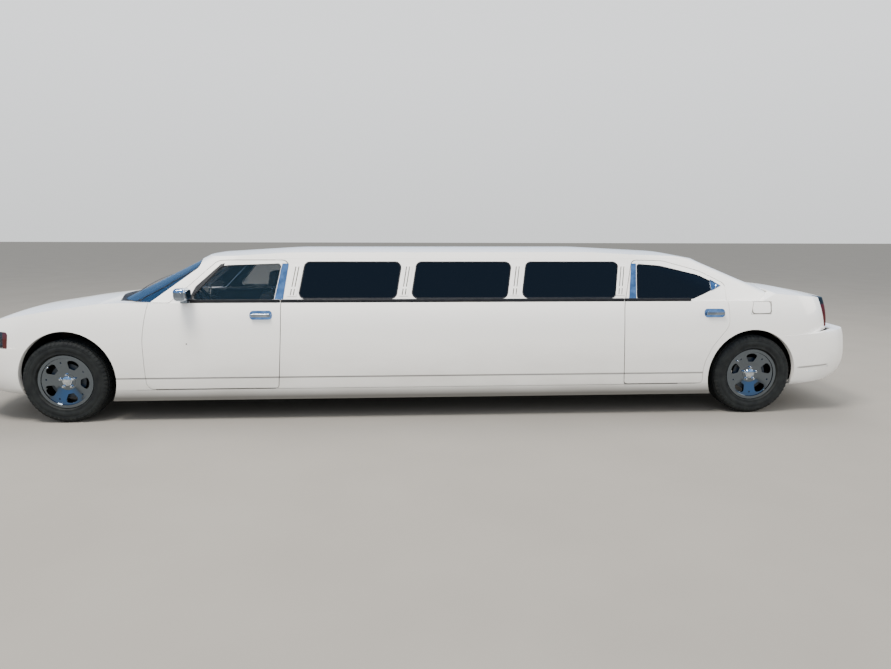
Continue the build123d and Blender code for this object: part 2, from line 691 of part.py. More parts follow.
REAR_FLOOR = 430.0
FLOOR_WALL = 32.0
RISER = REAR_AXLE + 480.0
BULKHEAD = REAR_AXLE - 180.0
TAIL_CORNER = 170.0


def liner_cutter(axle, extra):
    radius = LINER_RADIUS + LINER_WALL + extra
    return both(cross_tube(axle, TYRE_RADIUS + LINER_RISE, radius, LINER_INNER_Y - extra, 1200.0))


def floor_pan():
    half = SILL_INNER - SEAT_CLEARANCE
    low = block((RISER, FRONT_AXLE - 500.0), (-half, half), (FLOOR_BOTTOM, FLOOR_TOP))
    riser = block((RISER, RISER + 30.0), (-half, half), (FLOOR_BOTTOM, REAR_FLOOR + FLOOR_WALL))
    high = plan_prism([(TAIL_WALL, -half, TAIL_CORNER), (RISER + 30.0, -half, SHARP),
                       (RISER + 30.0, half, SHARP), (TAIL_WALL, half, TAIL_CORNER)],
                      REAR_FLOOR, REAR_FLOOR + FLOOR_WALL)
    wall = block((BULKHEAD, BULKHEAD + 24.0), (-700, 700), (REAR_FLOOR, 1010.0))
    shelf = block((REAR_AXLE - 330.0, BULKHEAD + 24.0), (-700, 700), (990.0, 1010.0))
    tail = block((TAIL_WALL, TAIL_WALL + 30.0), (-700, 700), (REAR_FLOOR, 750.0))
    shape = solid_of([low, riser, high, wall, shelf, tail])
    rails = [block((-FAR, TAIL_WALL + 30.0), (y - 30.0, y + 30.0), (REAR_FLOOR + 2.0, 500.0))
             for y in (-450, 450)]
    reach = stacked(BUMPER_LEVELS, 50.0 + SEAT_CLEARANCE)
    shape = solid_of([shape] + [rail & reach for rail in rails])
    return cut(shape, *liner_cutter(REAR_AXLE, SEAT_CLEARANCE))


def wheel_housings():
    shells = []
    for axle in (FRONT_AXLE, REAR_AXLE):
        high = TYRE_RADIUS + LINER_RISE
        ring = cross_tube(axle, high, LINER_RADIUS + LINER_WALL, LINER_INNER_Y, 880.0)
        ring = ring - cross_tube(axle, high, LINER_RADIUS, LINER_INNER_Y - 1.0, 881.0)
        ring = ring & block((axle - 500.0, axle + 500.0), (0, 1200), (SILL_TOP, 1000.0))
        ring = ring & lower_form(FENDER_WALL + 1.0, 60.0)
        shells += both(ring)
    return shells


def front_frame():
    """Rails, cross members, strut towers and the control arms that carry the knuckles."""
    rail_y = (400.0, 460.0)
    reach = stacked(BUMPER_LEVELS, 50.0 + SEAT_CLEARANCE)
    pieces = [block((FRONT_AXLE + 450.0, FRONT_AXLE + 550.0), (-460, 460), (262.0, 320.0)),
              block((FRONT_AXLE - 60.0, FRONT_AXLE + 60.0), (-460, 460), (218.0, 300.0))]
    low = TYRE_RADIUS - BALL_JOINT_RISE
    high = TYRE_RADIUS + BALL_JOINT_RISE
    half = []
    rail_start = FIREWALL + FIREWALL_THICKNESS + SEAT_CLEARANCE
    rail = block((rail_start, FAR), rail_y, (380.0, 460.0)) & reach
    half.append(rail)
    half.append(block((FRONT_AXLE + 450.0, FRONT_AXLE + 550.0), rail_y, (300.0, 400.0)))
    half.append(block((FRONT_AXLE - 60.0, FRONT_AXLE + 60.0), rail_y, (218.0, 700.0)))
    half.append(block((FRONT_AXLE - 60.0, FRONT_AXLE + 60.0), (460.0, 590.0), (560.0, 700.0)))
    for base, inner in ((low - ARM_HEIGHT - STEER_GAP, 440.0), (high + STEER_GAP, 440.0)):
        arm = plan_prism([(FRONT_AXLE - 60.0, inner, 1.0), (FRONT_AXLE + 60.0, inner, 1.0),
                          (FRONT_AXLE + 22.0, KINGPIN_Y - 20.0, 5.0),
                          (FRONT_AXLE - 22.0, KINGPIN_Y - 20.0, 5.0)], base, base + ARM_HEIGHT)
        boss = Pos(FRONT_AXLE, KINGPIN_Y, base + ARM_HEIGHT / 2) * Cylinder(26.0, ARM_HEIGHT)
        half.append(arm + boss)
    left = solid_of(half)
    return solid_of(both(left) + pieces)


def knuckle_left():
    low = TYRE_RADIUS - BALL_JOINT_RISE
    high = TYRE_RADIUS + BALL_JOINT_RISE
    post = Pos(FRONT_AXLE, KINGPIN_Y, TYRE_RADIUS) * Cylinder(16.0, high - low)
    plate = block((FRONT_AXLE - 34.0, FRONT_AXLE + 34.0), (KINGPIN_Y - 40.0, KINGPIN_Y), (low, high))
    spindle = cross_tube(FRONT_AXLE, TYRE_RADIUS, SPINDLE_RADIUS, KINGPIN_Y - 40.0, HALF_TRACK + 62.0)
    caliper = block((FRONT_AXLE - 170.0, FRONT_AXLE - 20.0), (KINGPIN_Y - 30.0, KINGPIN_Y + 20.0),
                    (TYRE_RADIUS - 45.0, TYRE_RADIUS + 45.0))
    return solid_of([post, plate, spindle, caliper])


def rear_axle():
    beam = cross_tube(REAR_AXLE, TYRE_RADIUS, 38.0, -700.0, 700.0)
    spindle = cross_tube(REAR_AXLE, TYRE_RADIUS, SPINDLE_RADIUS, -HALF_TRACK - 62.0, HALF_TRACK + 62.0)
    arms = [block((REAR_AXLE, RISER - SEAT_CLEARANCE), (y - 35.0, y + 35.0), (330.0, 390.0))
            for y in (-400, 400)]
    calipers = both(block((REAR_AXLE - 160.0, REAR_AXLE), (HALF_TRACK - 110.0, HALF_TRACK + 10.0),
                          (TYRE_RADIUS - 40.0, TYRE_RADIUS + 40.0)))
    return solid_of([beam, spindle] + arms + calipers)


def ring_profile(points):
    """Revolve (radius, y, corner radius) about the wheel's own axis, which is Y."""
    face = Face(rounded_wire(points, lambda r, y: Vector(r, y, 0)))
    return revolve(face, Axis.Y, 360.0)


def tyre_shape():
    half = TYRE_WIDTH / 2
    bead = RIM_RADIUS + SEAT_CLEARANCE
    points = [(bead, -RIM_WIDTH / 2 + 9.0, SHARP), (RIM_FLANGE + 6.0, -RIM_WIDTH / 2 + 9.0, SHARP),
              (RIM_FLANGE + 10.0, -half, 14.0), (TYRE_RADIUS - 50.0, -half, 60.0),
              (TYRE_RADIUS, -half + 18.0, 24.0), (TYRE_RADIUS, half - 18.0, 24.0),
              (TYRE_RADIUS - 50.0, half, 60.0), (RIM_FLANGE + 10.0, half, 14.0),
              (RIM_FLANGE + 6.0, RIM_WIDTH / 2 - 9.0, SHARP), (bead, RIM_WIDTH / 2 - 9.0, SHARP)]
    return ring_profile(points)


@cache
def wheel_shape(spoke_angle):
    """Rim, a dished face with five broad spokes, hub and brake disc; +Y is the outer side."""
    edge = RIM_WIDTH / 2
    barrel = ring_profile([
        (RIM_RADIUS, -edge + 8.0, SHARP), (RIM_FLANGE, -edge + 8.0, SHARP), (RIM_FLANGE, -edge, SHARP),
        (RIM_RADIUS - RIM_WALL, -edge, SHARP), (RIM_RADIUS - 22.0, -edge + 40.0, SHARP),
        (RIM_RADIUS - 22.0, edge - 40.0, SHARP), (RIM_RADIUS - RIM_WALL, edge, SHARP),
        (RIM_FLANGE, edge, SHARP), (RIM_FLANGE, edge - 8.0, SHARP), (RIM_RADIUS, edge - 8.0, SHARP)])
    face = ring_profile([(SPINDLE_RADIUS + 20.0, DISC_FROM, SHARP), (HUB_RADIUS + 12.0, DISC_FROM, SHARP),
                         (RIM_RADIUS - 34.0, 56.0, 12.0), (RIM_RADIUS - 4.0, 62.0, SHARP),
                         (RIM_RADIUS - 4.0, 86.0, SHARP), (RIM_RADIUS - 34.0, 81.0, 14.0),
                         (HUB_RADIUS, HUB_FACE - 2.0, 30.0), (SPINDLE_RADIUS + 20.0, HUB_FACE - 2.0, SHARP)])
    hub = Cylinder(HUB_RADIUS - 12.0, HUB_FACE - DISC_FROM)
    hub = Pos(0, (DISC_FROM + HUB_FACE) / 2, 0) * Rot(90, 0, 0) * hub
    disc = Pos(0, DISC_FROM + DISC_WALL / 2, 0) * Rot(90, 0, 0) * Cylinder(DISC_RADIUS, DISC_WALL)
    tools = []
    for i in range(SPOKES):
        spoke = math.radians(spoke_angle + 360.0 / SPOKES * i)
        between = math.degrees(spoke) + 180.0 / SPOKES
        window = [(RIM_RADIUS - 104.0, -24.0, 14.0), (RIM_RADIUS - 42.0, -58.0, 22.0),
                  (RIM_RADIUS - 17.0, 0.0, 130.0), (RIM_RADIUS - 42.0, 58.0, 22.0),
                  (RIM_RADIUS - 104.0, 24.0, 14.0)]
        hole = Face(rounded_wire(window, lambda a, b: Vector(a, DISC_FROM + DISC_WALL, b)))
        tools.append(Rot(0, -between, 0) * extrude(hole, amount=60.0, dir=(0, 1, 0)))
        dimple = Pos(0.78 * RIM_RADIUS * math.cos(spoke), 76.0, 0.78 * RIM_RADIUS * math.sin(spoke))
        tools.append(dimple * Rot(90, 0, 0) * Cylinder(8.0, 16.0))
    bore = Rot(90, 0, 0) * Cylinder(SPINDLE_RADIUS + STEER_GAP, 130.0)
    face = cut(face, *tools)
    return solid_of([barrel, face, hub, disc]) - bore


WHEELS = {
    "front_left": (FRONT_AXLE, 1, 78.0),
    "front_right": (FRONT_AXLE, -1, 78.0),
    "rear_left": (REAR_AXLE, 1, 54.0),
    "rear_right": (REAR_AXLE, -1, 54.0),
}


def engine_bay():
    """The engine as one plain block, and the radiator."""
    engine = block((FRONT_AXLE - 340.0, FRONT_AXLE + 330.0), (-300, 300), (300.0 + SEAT_CLEARANCE, 800.0))
    radiator = block((FRONT_AXLE + 470.0, FRONT_AXLE + 530.0), (-380, 380), (320.0 + SEAT_CLEARANCE, 740.0))
    return [engine, radiator]


PIPE_RADIUS = 31.5
PIPE_Z = 168.0
PIPE_Y = 60.0
TIP_RADIUS = 37.0
TIP_Y = 400.0
MUFFLER_X = (REAR_AXLE - 640.0, REAR_AXLE - 360.0)
MUFFLER_Z = (236.0, 396.0)
HANGER_RADIUS = 7.0


def tube(points, radius):
    """A pipe along straight runs with a ball in each bend."""
    pieces = []
    for a, b in zip(points, points[1:]):
        run = Vector(*b) - Vector(*a)
        place = Plane(origin=a, z_dir=run)
        pieces.append(place * Cylinder(radius, run.length, align=(Align.CENTER, Align.CENTER, Align.MIN)))
    pieces += [Pos(*point) * Sphere(radius) for point in points[1:-1]]
    return pieces


def exhaust():
    """One long pipe to a cross muffler behind the axle, with a tip under the bumper on each side."""
    middle = (MUFFLER_Z[0] + MUFFLER_Z[1]) / 2
    box = block(MUFFLER_X, (-430.0, 430.0), MUFFLER_Z)
    muffler = fillet(box.edges().filter_by(Axis.Y), 60.0)
    pieces = tube([(FRONT_AXLE - 630.0, PIPE_Y, PIPE_Z), (REAR_AXLE - 150.0, PIPE_Y, PIPE_Z),
                   (MUFFLER_X[1] + 60.0, PIPE_Y, middle), (MUFFLER_X[1] - 20.0, PIPE_Y, middle)], PIPE_RADIUS)
    for side in (-1, 1):
        y = side * TIP_Y
        pieces += tube([(MUFFLER_X[0] + 20.0, y, middle), (REAR_AXLE - 720.0, y, middle),
                        (REAR_AXLE - 800.0, y, 272.0), (REAR_AXLE - 860.0, y, 272.0)], PIPE_RADIUS)
        tip = Pos(REAR_AXLE - 915.0, y, 272.0) * Rot(0, 90, 0) * Cylinder(TIP_RADIUS, 130.0)
        bore = Pos(REAR_AXLE - 935.0, y, 272.0) * Rot(0, 90, 0) * Cylinder(TIP_RADIUS - 3.0, 100.0)
        pieces.append(tip - bore)
        top = REAR_FLOOR - SEAT_CLEARANCE
        pieces.append(Pos(MUFFLER_X[1] - 140.0, y * 0.8, (middle + top) / 2)
                      * Cylinder(HANGER_RADIUS, top - middle))
    return solid_of([muffler] + pieces)


def dashboard():
    front = FIREWALL - SEAT_CLEARANCE
    profile = [(front, 640.0, 10.0), (front, 960.0, 10.0),
               (FRONT_AXLE - 700.0, 985.0, 60.0), (FRONT_AXLE - 880.0, 950.0, 50.0),
               (FRONT_AXLE - 860.0, 760.0, 60.0), (FRONT_AXLE - 760.0, 640.0, 40.0)]
    return side_prism(profile, -DASH_HALF, DASH_HALF)


DASH_HALF = 690.0
WHEEL_HUB = (FRONT_AXLE - 1060.0, 380.0, 960.0)
COLUMN_TILT = 24.0
STEERING_RADIUS = 190.0


def column_place(along):
    """A place on the steering column, counted forward from the steering wheel."""
    tilt = math.radians(COLUMN_TILT)
    x, y, z = WHEEL_HUB
    return Pos(x + along * math.cos(tilt), y, z - along * math.sin(tilt)) * Rot(0, 90 + COLUMN_TILT, 0)


HUB_END = 28.0
HUB_DEPTH = 36.0
RIM_GRIP = 15.0
COLUMN_RADIUS = 32.0
COLUMN_END = 230.0


def steering_column():
    start = HUB_END + SEAT_CLEARANCE
    return column_place((start + COLUMN_END) / 2) * Cylinder(COLUMN_RADIUS, COLUMN_END - start)


def steering_wheel():
    rim = column_place(0.0) * Torus(STEERING_RADIUS, RIM_GRIP)
    hub = column_place(HUB_END - HUB_DEPTH / 2) * Cylinder(60.0, HUB_DEPTH)
    pieces = [rim, hub]
    for turn in (0.0, 90.0, 180.0, 270.0):
        pieces.append(column_place(4.0) * Rot(0, 0, turn) * Pos(STEERING_RADIUS / 2 + 10.0, 0, 0)
                      * Box(STEERING_RADIUS - 40.0, 30.0, 12.0))
    return solid_of(pieces)


def seat(x_front, depth, y_from, y_to, base, cushion, back, lean=110.0):
    """A cushion and a leaning back in one soft solid."""
    rear = x_front - depth
    profile = [(rear, base, 10.0), (x_front, base, 10.0), (x_front + 20.0, cushion, 60.0),
               (rear + 150.0, cushion - 30.0, 30.0), (rear + 150.0 - lean, back, 50.0),
               (rear - lean + 10.0, back, 50.0)]
    return side_prism(profile, y_from, y_to)


def seats():
    low = FLOOR_TOP + SEAT_CLEARANCE
    front = [seat(FRONT_AXLE - 1100.0, 560.0, y, y + 520.0, low, 570.0, 1120.0) for y in (-650.0, 130.0)]
    rear_low = REAR_FLOOR + FLOOR_WALL + SEAT_CLEARANCE
    rear = seat(REAR_AXLE + 440.0, 480.0, -460.0, 460.0, rear_low, 640.0, 1060.0)
    length = (C_SHUT + 200.0, B_SHUT - 400.0)
    bench = block(length, (400.0, SILL_INNER - 10.0), (low, 540.0))
    rest = block(length, (SILL_INNER - 120.0, SILL_INNER - 10.0), (500.0, 960.0))
    return front + [rear, bench + rest]


HANDLE_PLATE = (190.0, 76.0, 3.0)
HANDLE_BAR = (160.0, 16.0, 28.0)
HANDLE_Z = 936.0


@cache
def door_skin(rise):
    """The body side and a little of what lies outside it, where the handles are."""
    zone = block((REAR_AXLE, FRONT_AXLE), (700.0, 1200.0), (800.0, 1040.0))
    return stacked(BODY_LEVELS, -rise) & zone


def handle(x, z):
    """A plate on the door skin and a pull bar on two posts."""
    half, high = HANDLE_PLATE[0] / 2, HANDLE_PLATE[1] / 2
    outline = [(x - half, z - high, 30.0), (x + half, z - high, 30.0), (x + half, z + high, 30.0),
               (x - half, z + high, 30.0)]
    plate = side_prism(outline, 700.0) & door_skin(HANDLE_PLATE[2])
    bar = Pos(x, 950.0, z) * Box(*HANDLE_BAR)
    bar = fillet(bar.edges(), 5.0)
    posts = [Pos(x + offset, 930.0, z) * Box(24.0, 34.0, 20.0) for offset in (-62.0, 62.0)]
    return cut(solid_of([plate, bar] + posts), door_skin(SEAT_CLEARANCE))


def mirror_left():
    x = FRONT_AXLE - 1050.0
    housing = fillet((Pos(x, 985.0, 1122.0) * Box(105.0, 165.0, 108.0)).edges(), 34.0)
    stalk = block((x - 25.0, x + 35.0), (884.0, 930.0), (BELT + SEAT_CLEARANCE, 1095.0))
    return housing + stalk


TRIM_RISE = 3.0
STRIP_LOW = 1062.0
STRIP_HIGH = 1370.0


@cache
def trim_skin(rise):
    side = block((C_SHUT - 400.0, B_SHUT + 400.0), (600.0, 1200.0), (BELT, ROOF_SEAM))
    return (upper_form(-rise, -rise) & side) - upper_form(-SEAT_CLEARANCE, -SEAT_CLEARANCE)


def applique(outline, rise=TRIM_RISE):
    """A thin plate that lies on the glass house."""
    return trim_skin(rise) & side_prism(outline, 600.0)


def strip_outline(x, half, low, high):
    lean = PILLAR_LEAN
    return [(x - half, low, 4.0), (x + half, low, 4.0), (x + half - lean * (high - low), high, 4.0),
            (x - half - lean * (high - low), high, 4.0)]


def front_fittings_left():
    plate = applique([(B_SHUT - 20.0, STRIP_LOW, 4.0), (B_SHUT + 54.0, STRIP_LOW, 4.0),
                      (B_SHUT - 3.0, STRIP_HIGH, 4.0), (B_SHUT - 60.0, STRIP_HIGH, 4.0)])
    return [plate, handle(B_SHUT + 163.0, HANDLE_Z), mirror_left()]


def rear_fittings_left():
    plate = applique([(C_SHUT - 111.0, STRIP_LOW, 4.0), (C_SHUT - 45.0, STRIP_LOW, 4.0),
                      (C_SHUT - 92.0, STRIP_HIGH, 4.0), (C_SHUT - 138.0, STRIP_HIGH, 4.0)])
    return [plate, handle(REAR_AXLE + 402.0, HANDLE_Z)]


LOUVRE_LOW = 1092.0
LOUVRE_HIGH = 1352.0
LOUVRE_HALF = 40.0


def louvre_plate(x):
    plate = strip_outline(x, LOUVRE_HALF, LOUVRE_LOW, LOUVRE_HIGH)
    slots = []
    band = LOUVRE_LOW + 0.27 * (LOUVRE_HIGH - LOUVRE_LOW)
    for offset in (-13.0, 13.0):
        for low, high in ((LOUVRE_LOW + 8.0, band - 8.0), (band + 8.0, LOUVRE_HIGH - 8.0)):
            foot = x + offset - PILLAR_LEAN * (low - LOUVRE_LOW)
            slots.append(side_prism(strip_outline(foot, 4.0, low, high), 600.0))
    return cut(applique(plate, 5.0), *slots)


def pillar_louvres():
    places = [B_SHUT - FIRST_PILLAR / 2 - 22.0]
    for index in range(WINDOWS - 1):
        places.append(window_outline(index)[0][0] - WINDOW_PILLAR / 2)
    places.append(C_SHUT + 33.0)
    plates = []
    for x in places:
        plates += both(louvre_plate(x))
    return plates


def save(name, *shapes):
    solids = []
    for shape in shapes:
        solids += list(shape.solids())
    whole = solids[0] if len(solids) == 1 else Compound(solids)
    export_step(whole, "parts/" + name + ".step")


def save_pair(name, shape):
    """Write a left piece and its mirror image as two nodes."""
    pieces = shape if isinstance(shape, list) else [shape]
    save(name + "_left", *pieces)
    save(name + "_right", *[mirror(piece, about=Plane.XZ) for piece in pieces])


def main():
    os.makedirs("parts", exist_ok=True)
    save("fenders", *both(fender_left()))
    save("hood", hood())
    save("cowl", cowl())
    save_pair("door_front", door(FRONT_DOOR, FRONT_GLASS, FRONT_ARCH))
    save_pair("door_rear", door(REAR_DOOR, REAR_GLASS, REAR_ARCH))
    save_pair("glass_front", door_glass(FRONT_GLASS))
    save_pair("glass_rear", door_glass(REAR_GLASS))
    save_pair("fittings_front", front_fittings_left())
    save_pair("fittings_rear", rear_fittings_left())
    save("stretch_panels", *both(stretch_left()))
    save("quarter_panels", quarters())
    save("roof_panel", roof())
    save("fixed_glass", *fixed_glass())
    save("pillar_louvres", *pillar_louvres())
    save("trunk_lid", trunk_lid())
    save("bumper_front", front_bumper())
    save("bumper_rear", rear_bumper())
    save("grille", grille())
    save("headlamps", *headlamps())
    save("tail_lamps", *tail_lamps())
    save("sills", *both(sill_left()))
    save("floor_pan", floor_pan())
    save("wheel_housings", *wheel_housings())
    save("front_frame", front_frame())
    save_pair("knuckle", knuckle_left())
    save("rear_axle", rear_axle())
    save("engine", *engine_bay())
    save("exhaust", *exhaust())
    save("dashboard", solid_of([dashboard(), steering_column()]))
    save("steering_wheel", steering_wheel())
    save("seats", *seats())
    tyre = tyre_shape()
    for name, (axle, side, angle) in WHEELS.items():
        wheel = wheel_shape(angle)
        if side < 0:
            wheel = mirror(wheel, about=Plane.XZ)
        place = Pos(axle, side * HALF_TRACK, TYRE_RADIUS)
        save("tyre_" + name, place * tyre)
        save("wheel_" + name, place * wheel)


main()
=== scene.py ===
import math

import bmesh
import bpy
from mathutils import Matrix, Vector


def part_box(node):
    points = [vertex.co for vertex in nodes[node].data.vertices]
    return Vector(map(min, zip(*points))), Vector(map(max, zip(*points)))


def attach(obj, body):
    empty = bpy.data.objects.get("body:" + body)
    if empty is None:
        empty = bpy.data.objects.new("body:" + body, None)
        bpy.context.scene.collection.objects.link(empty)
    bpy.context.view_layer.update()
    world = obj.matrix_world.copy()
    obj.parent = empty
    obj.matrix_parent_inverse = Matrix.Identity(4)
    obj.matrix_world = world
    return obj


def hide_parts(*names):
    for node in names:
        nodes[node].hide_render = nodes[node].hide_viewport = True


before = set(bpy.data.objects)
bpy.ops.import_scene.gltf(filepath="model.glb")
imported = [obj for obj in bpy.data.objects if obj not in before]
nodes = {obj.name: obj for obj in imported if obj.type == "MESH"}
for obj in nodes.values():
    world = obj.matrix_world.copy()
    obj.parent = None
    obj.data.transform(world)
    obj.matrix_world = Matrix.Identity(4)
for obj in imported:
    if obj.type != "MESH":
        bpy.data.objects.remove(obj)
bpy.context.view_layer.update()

# The studio.
# A pale matt floor, a soft white room and three large lamps. The camera stands where the photographer did,
# a little ahead of the middle of the car and at head height, and cuts the nose off as the photograph does.
CAMERA_PLACE = (0.1699, 6.4014, 1.6256)
CAMERA_YAW, CAMERA_DIP, CAMERA_ROLL = -0.064, 0.157, 0.003
CAMERA_LENS, CAMERA_SENSOR = 25.56, 36.0

# The room lights the car white all round, and the bright trim mirrors a blue sky over a pale ground.
# sine of the height, colour
ROOM_SEEN = [(0.0, "CFD1D2"), (0.25, "E6E8EA"), (0.60, "F2F4F6")]
ROOM_MIRRORED = [(0.0, "8A98A6"), (0.10, "7FA9DC"), (0.50, "7BA2D4"), (0.90, "5C8ED0")]
ROOM_STRENGTH, MIRRORED_STRENGTH = 1.75, 1.45
LAMP_WHITE = "FFF7EC"
LAMP_AIM = (0.0, 0.0, 0.6)
# name, place, watts, width, length
LAMPS = [
    ("key_lamp", (3.5, 4.5, 12.0), 2600.0, 4.0, 4.0),
    ("fill_lamp", (-10.0, 3.0, 4.0), 350.0, 5.0, 4.0),
    ("back_lamp", (-3.0, -4.5, 12.0), 900.0, 6.0, 4.0),
]
FLOOR_SIZE = 240.0
# noise lies mostly between two levels, and a colour or a number made from it goes from one level to the other
COLOUR_LEVELS = (0.35, 0.65)
NUMBER_LEVELS = (0.3, 0.7)


def hue(code):
    """An sRGB hex colour as the linear colour that a socket takes."""
    shares = [int(code[i:i + 2], 16) / 255 for i in (0, 2, 4)]
    return tuple(s / 12.92 if s <= 0.04045 else ((s + 0.055) / 1.055) ** 2.4 for s in shares) + (1.0,)


def node(material, kind, sockets=None, links=None, stops=(), **settings):
    """Add one shader node with its settings, its socket values, its links and a colour ramp's stops."""
    made = material.node_tree.nodes.new("ShaderNode" + kind)
    for key, value in settings.items():
        setattr(made, key, value)
    for key, value in (sockets or {}).items():
        made.inputs[key].default_value = value
    for key, source in (links or {}).items():
        material.node_tree.links.new(source, made.inputs[key])
    if stops:
        while len(made.color_ramp.elements) < len(stops):
            made.color_ramp.elements.new(1.0)
        for element, (place, code) in zip(made.color_ramp.elements, stops):
            element.position = place
            element.color = hue(code)
    return made


def surface(name, sockets, links=None):
    """A new material whose shader has these socket values; links are made by a function of the material."""
    material = bpy.data.materials.new(name)
    material.use_nodes = True
    shader = material.node_tree.nodes["Principled BSDF"]
    for key, value in sockets.items():
        shader.inputs[key].default_value = hue(value) if isinstance(value, str) else value
    for key, source in (links(material) if links else {}).items():
        material.node_tree.links.new(source, shader.inputs[key])
    return material


def mottled(material, size_mm, dark, light, detail=3.0):
    """A colour in cloudy blotches about this many millimetres across, from dark to light."""
    place = node(material, "TexCoord").outputs["Object"]
    clouds = node(material, "TexNoise", {"Scale": 1000.0 / size_mm, "Detail": detail}, {"Vector": place})
    stops = [(COLOUR_LEVELS[0], dark), (COLOUR_LEVELS[1], light)]
    return node(material, "ValToRGB", None, {"Fac": clouds.outputs["Fac"]}, stops).outputs["Color"]


camera = bpy.data.objects.new("camera", bpy.data.cameras.new("camera"))
bpy.context.scene.collection.objects.link(camera)
camera.data.lens = CAMERA_LENS
camera.data.sensor_width = CAMERA_SENSOR
camera.data.sensor_fit = "HORIZONTAL"
camera.matrix_world = (Matrix.Translation(CAMERA_PLACE) @ Matrix.Rotation(math.pi + CAMERA_YAW, 4, "Z")
                       @ Matrix.Rotation(math.pi / 2 - CAMERA_DIP, 4, "X")
                       @ Matrix.Rotation(CAMERA_ROLL, 4, "Z"))
bpy.context.scene.camera = camera

room = bpy.context.scene.world or bpy.data.worlds.new("room")
bpy.context.scene.world = room
room.use_nodes = True


def wall(stops, strength):
    """The room's light, with a colour that changes with the height."""
    bearing = node(room, "TexCoord").outputs["Generated"]
    height = node(room, "SeparateXYZ", None, {"Vector": bearing}).outputs["Z"]
    colour = node(room, "ValToRGB", None, {"Fac": height}, stops).outputs["Color"]
    return node(room, "Background", {"Strength": strength}, {"Color": colour}).outputs["Background"]


mirrored = node(room, "LightPath").outputs["Is Glossy Ray"]
both = node(room, "MixShader", None, {0: mirrored, 1: wall(ROOM_SEEN, ROOM_STRENGTH),
                                      2: wall(ROOM_MIRRORED, MIRRORED_STRENGTH)})
room.node_tree.links.new(both.outputs["Shader"], room.node_tree.nodes["World Output"].inputs["Surface"])

for name, place, watts, width, length in LAMPS:
    lamp = bpy.data.lights.new(name, "AREA")
    lamp.shape = "RECTANGLE"
    lamp.size = width
    lamp.size_y = length
    lamp.energy = watts
    lamp.color = hue(LAMP_WHITE)[:3]
    holder = bpy.data.objects.new(name, lamp)
    bpy.context.scene.collection.objects.link(holder)
    aim = Vector(LAMP_AIM) - Vector(place)
    holder.matrix_world = Matrix.Translation(place) @ aim.to_track_quat("-Z", "Y").to_matrix().to_4x4()

# Swept concrete, painted pale: matt, with faint cloudy patches about 900 mm across
floor_paint = surface("swept_pale_concrete", {"Roughness": 0.85, "Specular IOR Level": 0.0}, lambda m: {
    "Base Color": mottled(m, 900.0, "817F7B", "84827E")})
bpy.ops.object.select_all(action="DESELECT")
bpy.ops.mesh.primitive_plane_add(size=FLOOR_SIZE)
floor = bpy.context.object
floor.name = "studio_floor"
floor.data.materials.append(floor_paint)


# The floor pan, frame rails and front frame.
# Pressed and welded steel under a sprayed rubbery underseal, which is satin black, pebbled and dusty.
def coat(material, *names):
    """Give whole CAD nodes this material."""
    for name in names:
        for place in nodes[name].material_slots:
            place.material = material


def grained(material, size_mm, depth_mm, strength, detail=3.0):
    """A bump of this depth whose grains are about this many millimetres across."""
    place = node(material, "TexCoord").outputs["Object"]
    grains = node(material, "TexNoise", {"Scale": 1000.0 / size_mm, "Detail": detail}, {"Vector": place})
    return node(material, "Bump", {"Strength": strength, "Distance": depth_mm / 1000.0},
                {"Height": grains.outputs["Fac"]}).outputs["Normal"]


underseal = surface("sprayed_underseal", {"Roughness": 0.7, "Specular IOR Level": 0.3}, lambda m: {
    "Base Color": mottled(m, 160.0, "16161A", "2B2A28", 5.0),
    "Normal": grained(m, 9.0, 1.0, 0.6)})
coat(underseal, "floor_pan", "front_frame", "cowl")

# The wheel housings.
# Moulded black polypropylene, matt, with road dust caught in its grain; the liners clip into the body.
# The grain is drawn at 5 mm, coarser than the real one, so that it shows close up.
liner_plastic = surface("moulded_polypropylene", {"Roughness": 0.8, "Specular IOR Level": 0.25}, lambda m: {
    "Base Color": mottled(m, 120.0, "0C0C0E", "262421", 6.0),
    "Normal": grained(m, 5.0, 0.6, 0.5)})
coat(liner_plastic, "wheel_housings")

# The knuckles, calipers, rear axle and engine.
# Sand-cast iron with a brown bloom of rust where the road wets it. The sand's grain is drawn at 4 mm,
# coarser than the real one, so that it shows close up.
cast_iron = surface("sand_cast_iron", {"Roughness": 0.75, "Metallic": 0.4}, lambda m: {
    "Base Color": mottled(m, 45.0, "2A2725", "4A3B30", 6.0),
    "Normal": grained(m, 4.0, 0.8, 0.6)})
coat(cast_iron, "knuckle_left", "knuckle_right", "rear_axle", "engine")

# The exhaust pipe, its muffler and its two tips.
# Drawn stainless tube, dulled and browned by heat along its length and brighter at the tips.
TIP_FROM = -3.84
TIP_FADE = 0.01


def fading(material, axis, start, end, low, high):
    """A number that goes from low to high between two places along X, Y or Z."""
    place = node(material, "SeparateXYZ", None, {"Vector": node(material, "TexCoord").outputs["Object"]})
    values = {"From Min": start, "From Max": end, "To Min": low, "To Max": high}
    return node(material, "MapRange", values, {"Value": place.outputs[axis]}).outputs["Result"]


def changing(material, axis, start, end, first, second):
    """A colour that goes from the first to the second between two places along X, Y or Z."""
    share = fading(material, axis, start, end, 0.0, 1.0)
    return node(material, "ValToRGB", None, {"Fac": share}, [(0.0, first), (1.0, second)]).outputs["Color"]


def uneven(material, size_mm, low, high, detail=3.0, stretch=(1.0, 1.0, 1.0)):
    """A number from low to high in patches about this many millimetres across."""
    place = node(material, "TexCoord").outputs["Object"]
    spread = node(material, "Mapping", {"Scale": stretch}, {"Vector": place}).outputs["Vector"]
    patches = node(material, "TexNoise", {"Scale": 1000.0 / size_mm, "Detail": detail}, {"Vector": spread})
    values = {"From Min": NUMBER_LEVELS[0], "From Max": NUMBER_LEVELS[1], "To Min": low, "To Max": high}
    return node(material, "MapRange", values, {"Value": patches.outputs["Fac"]}).outputs["Result"]


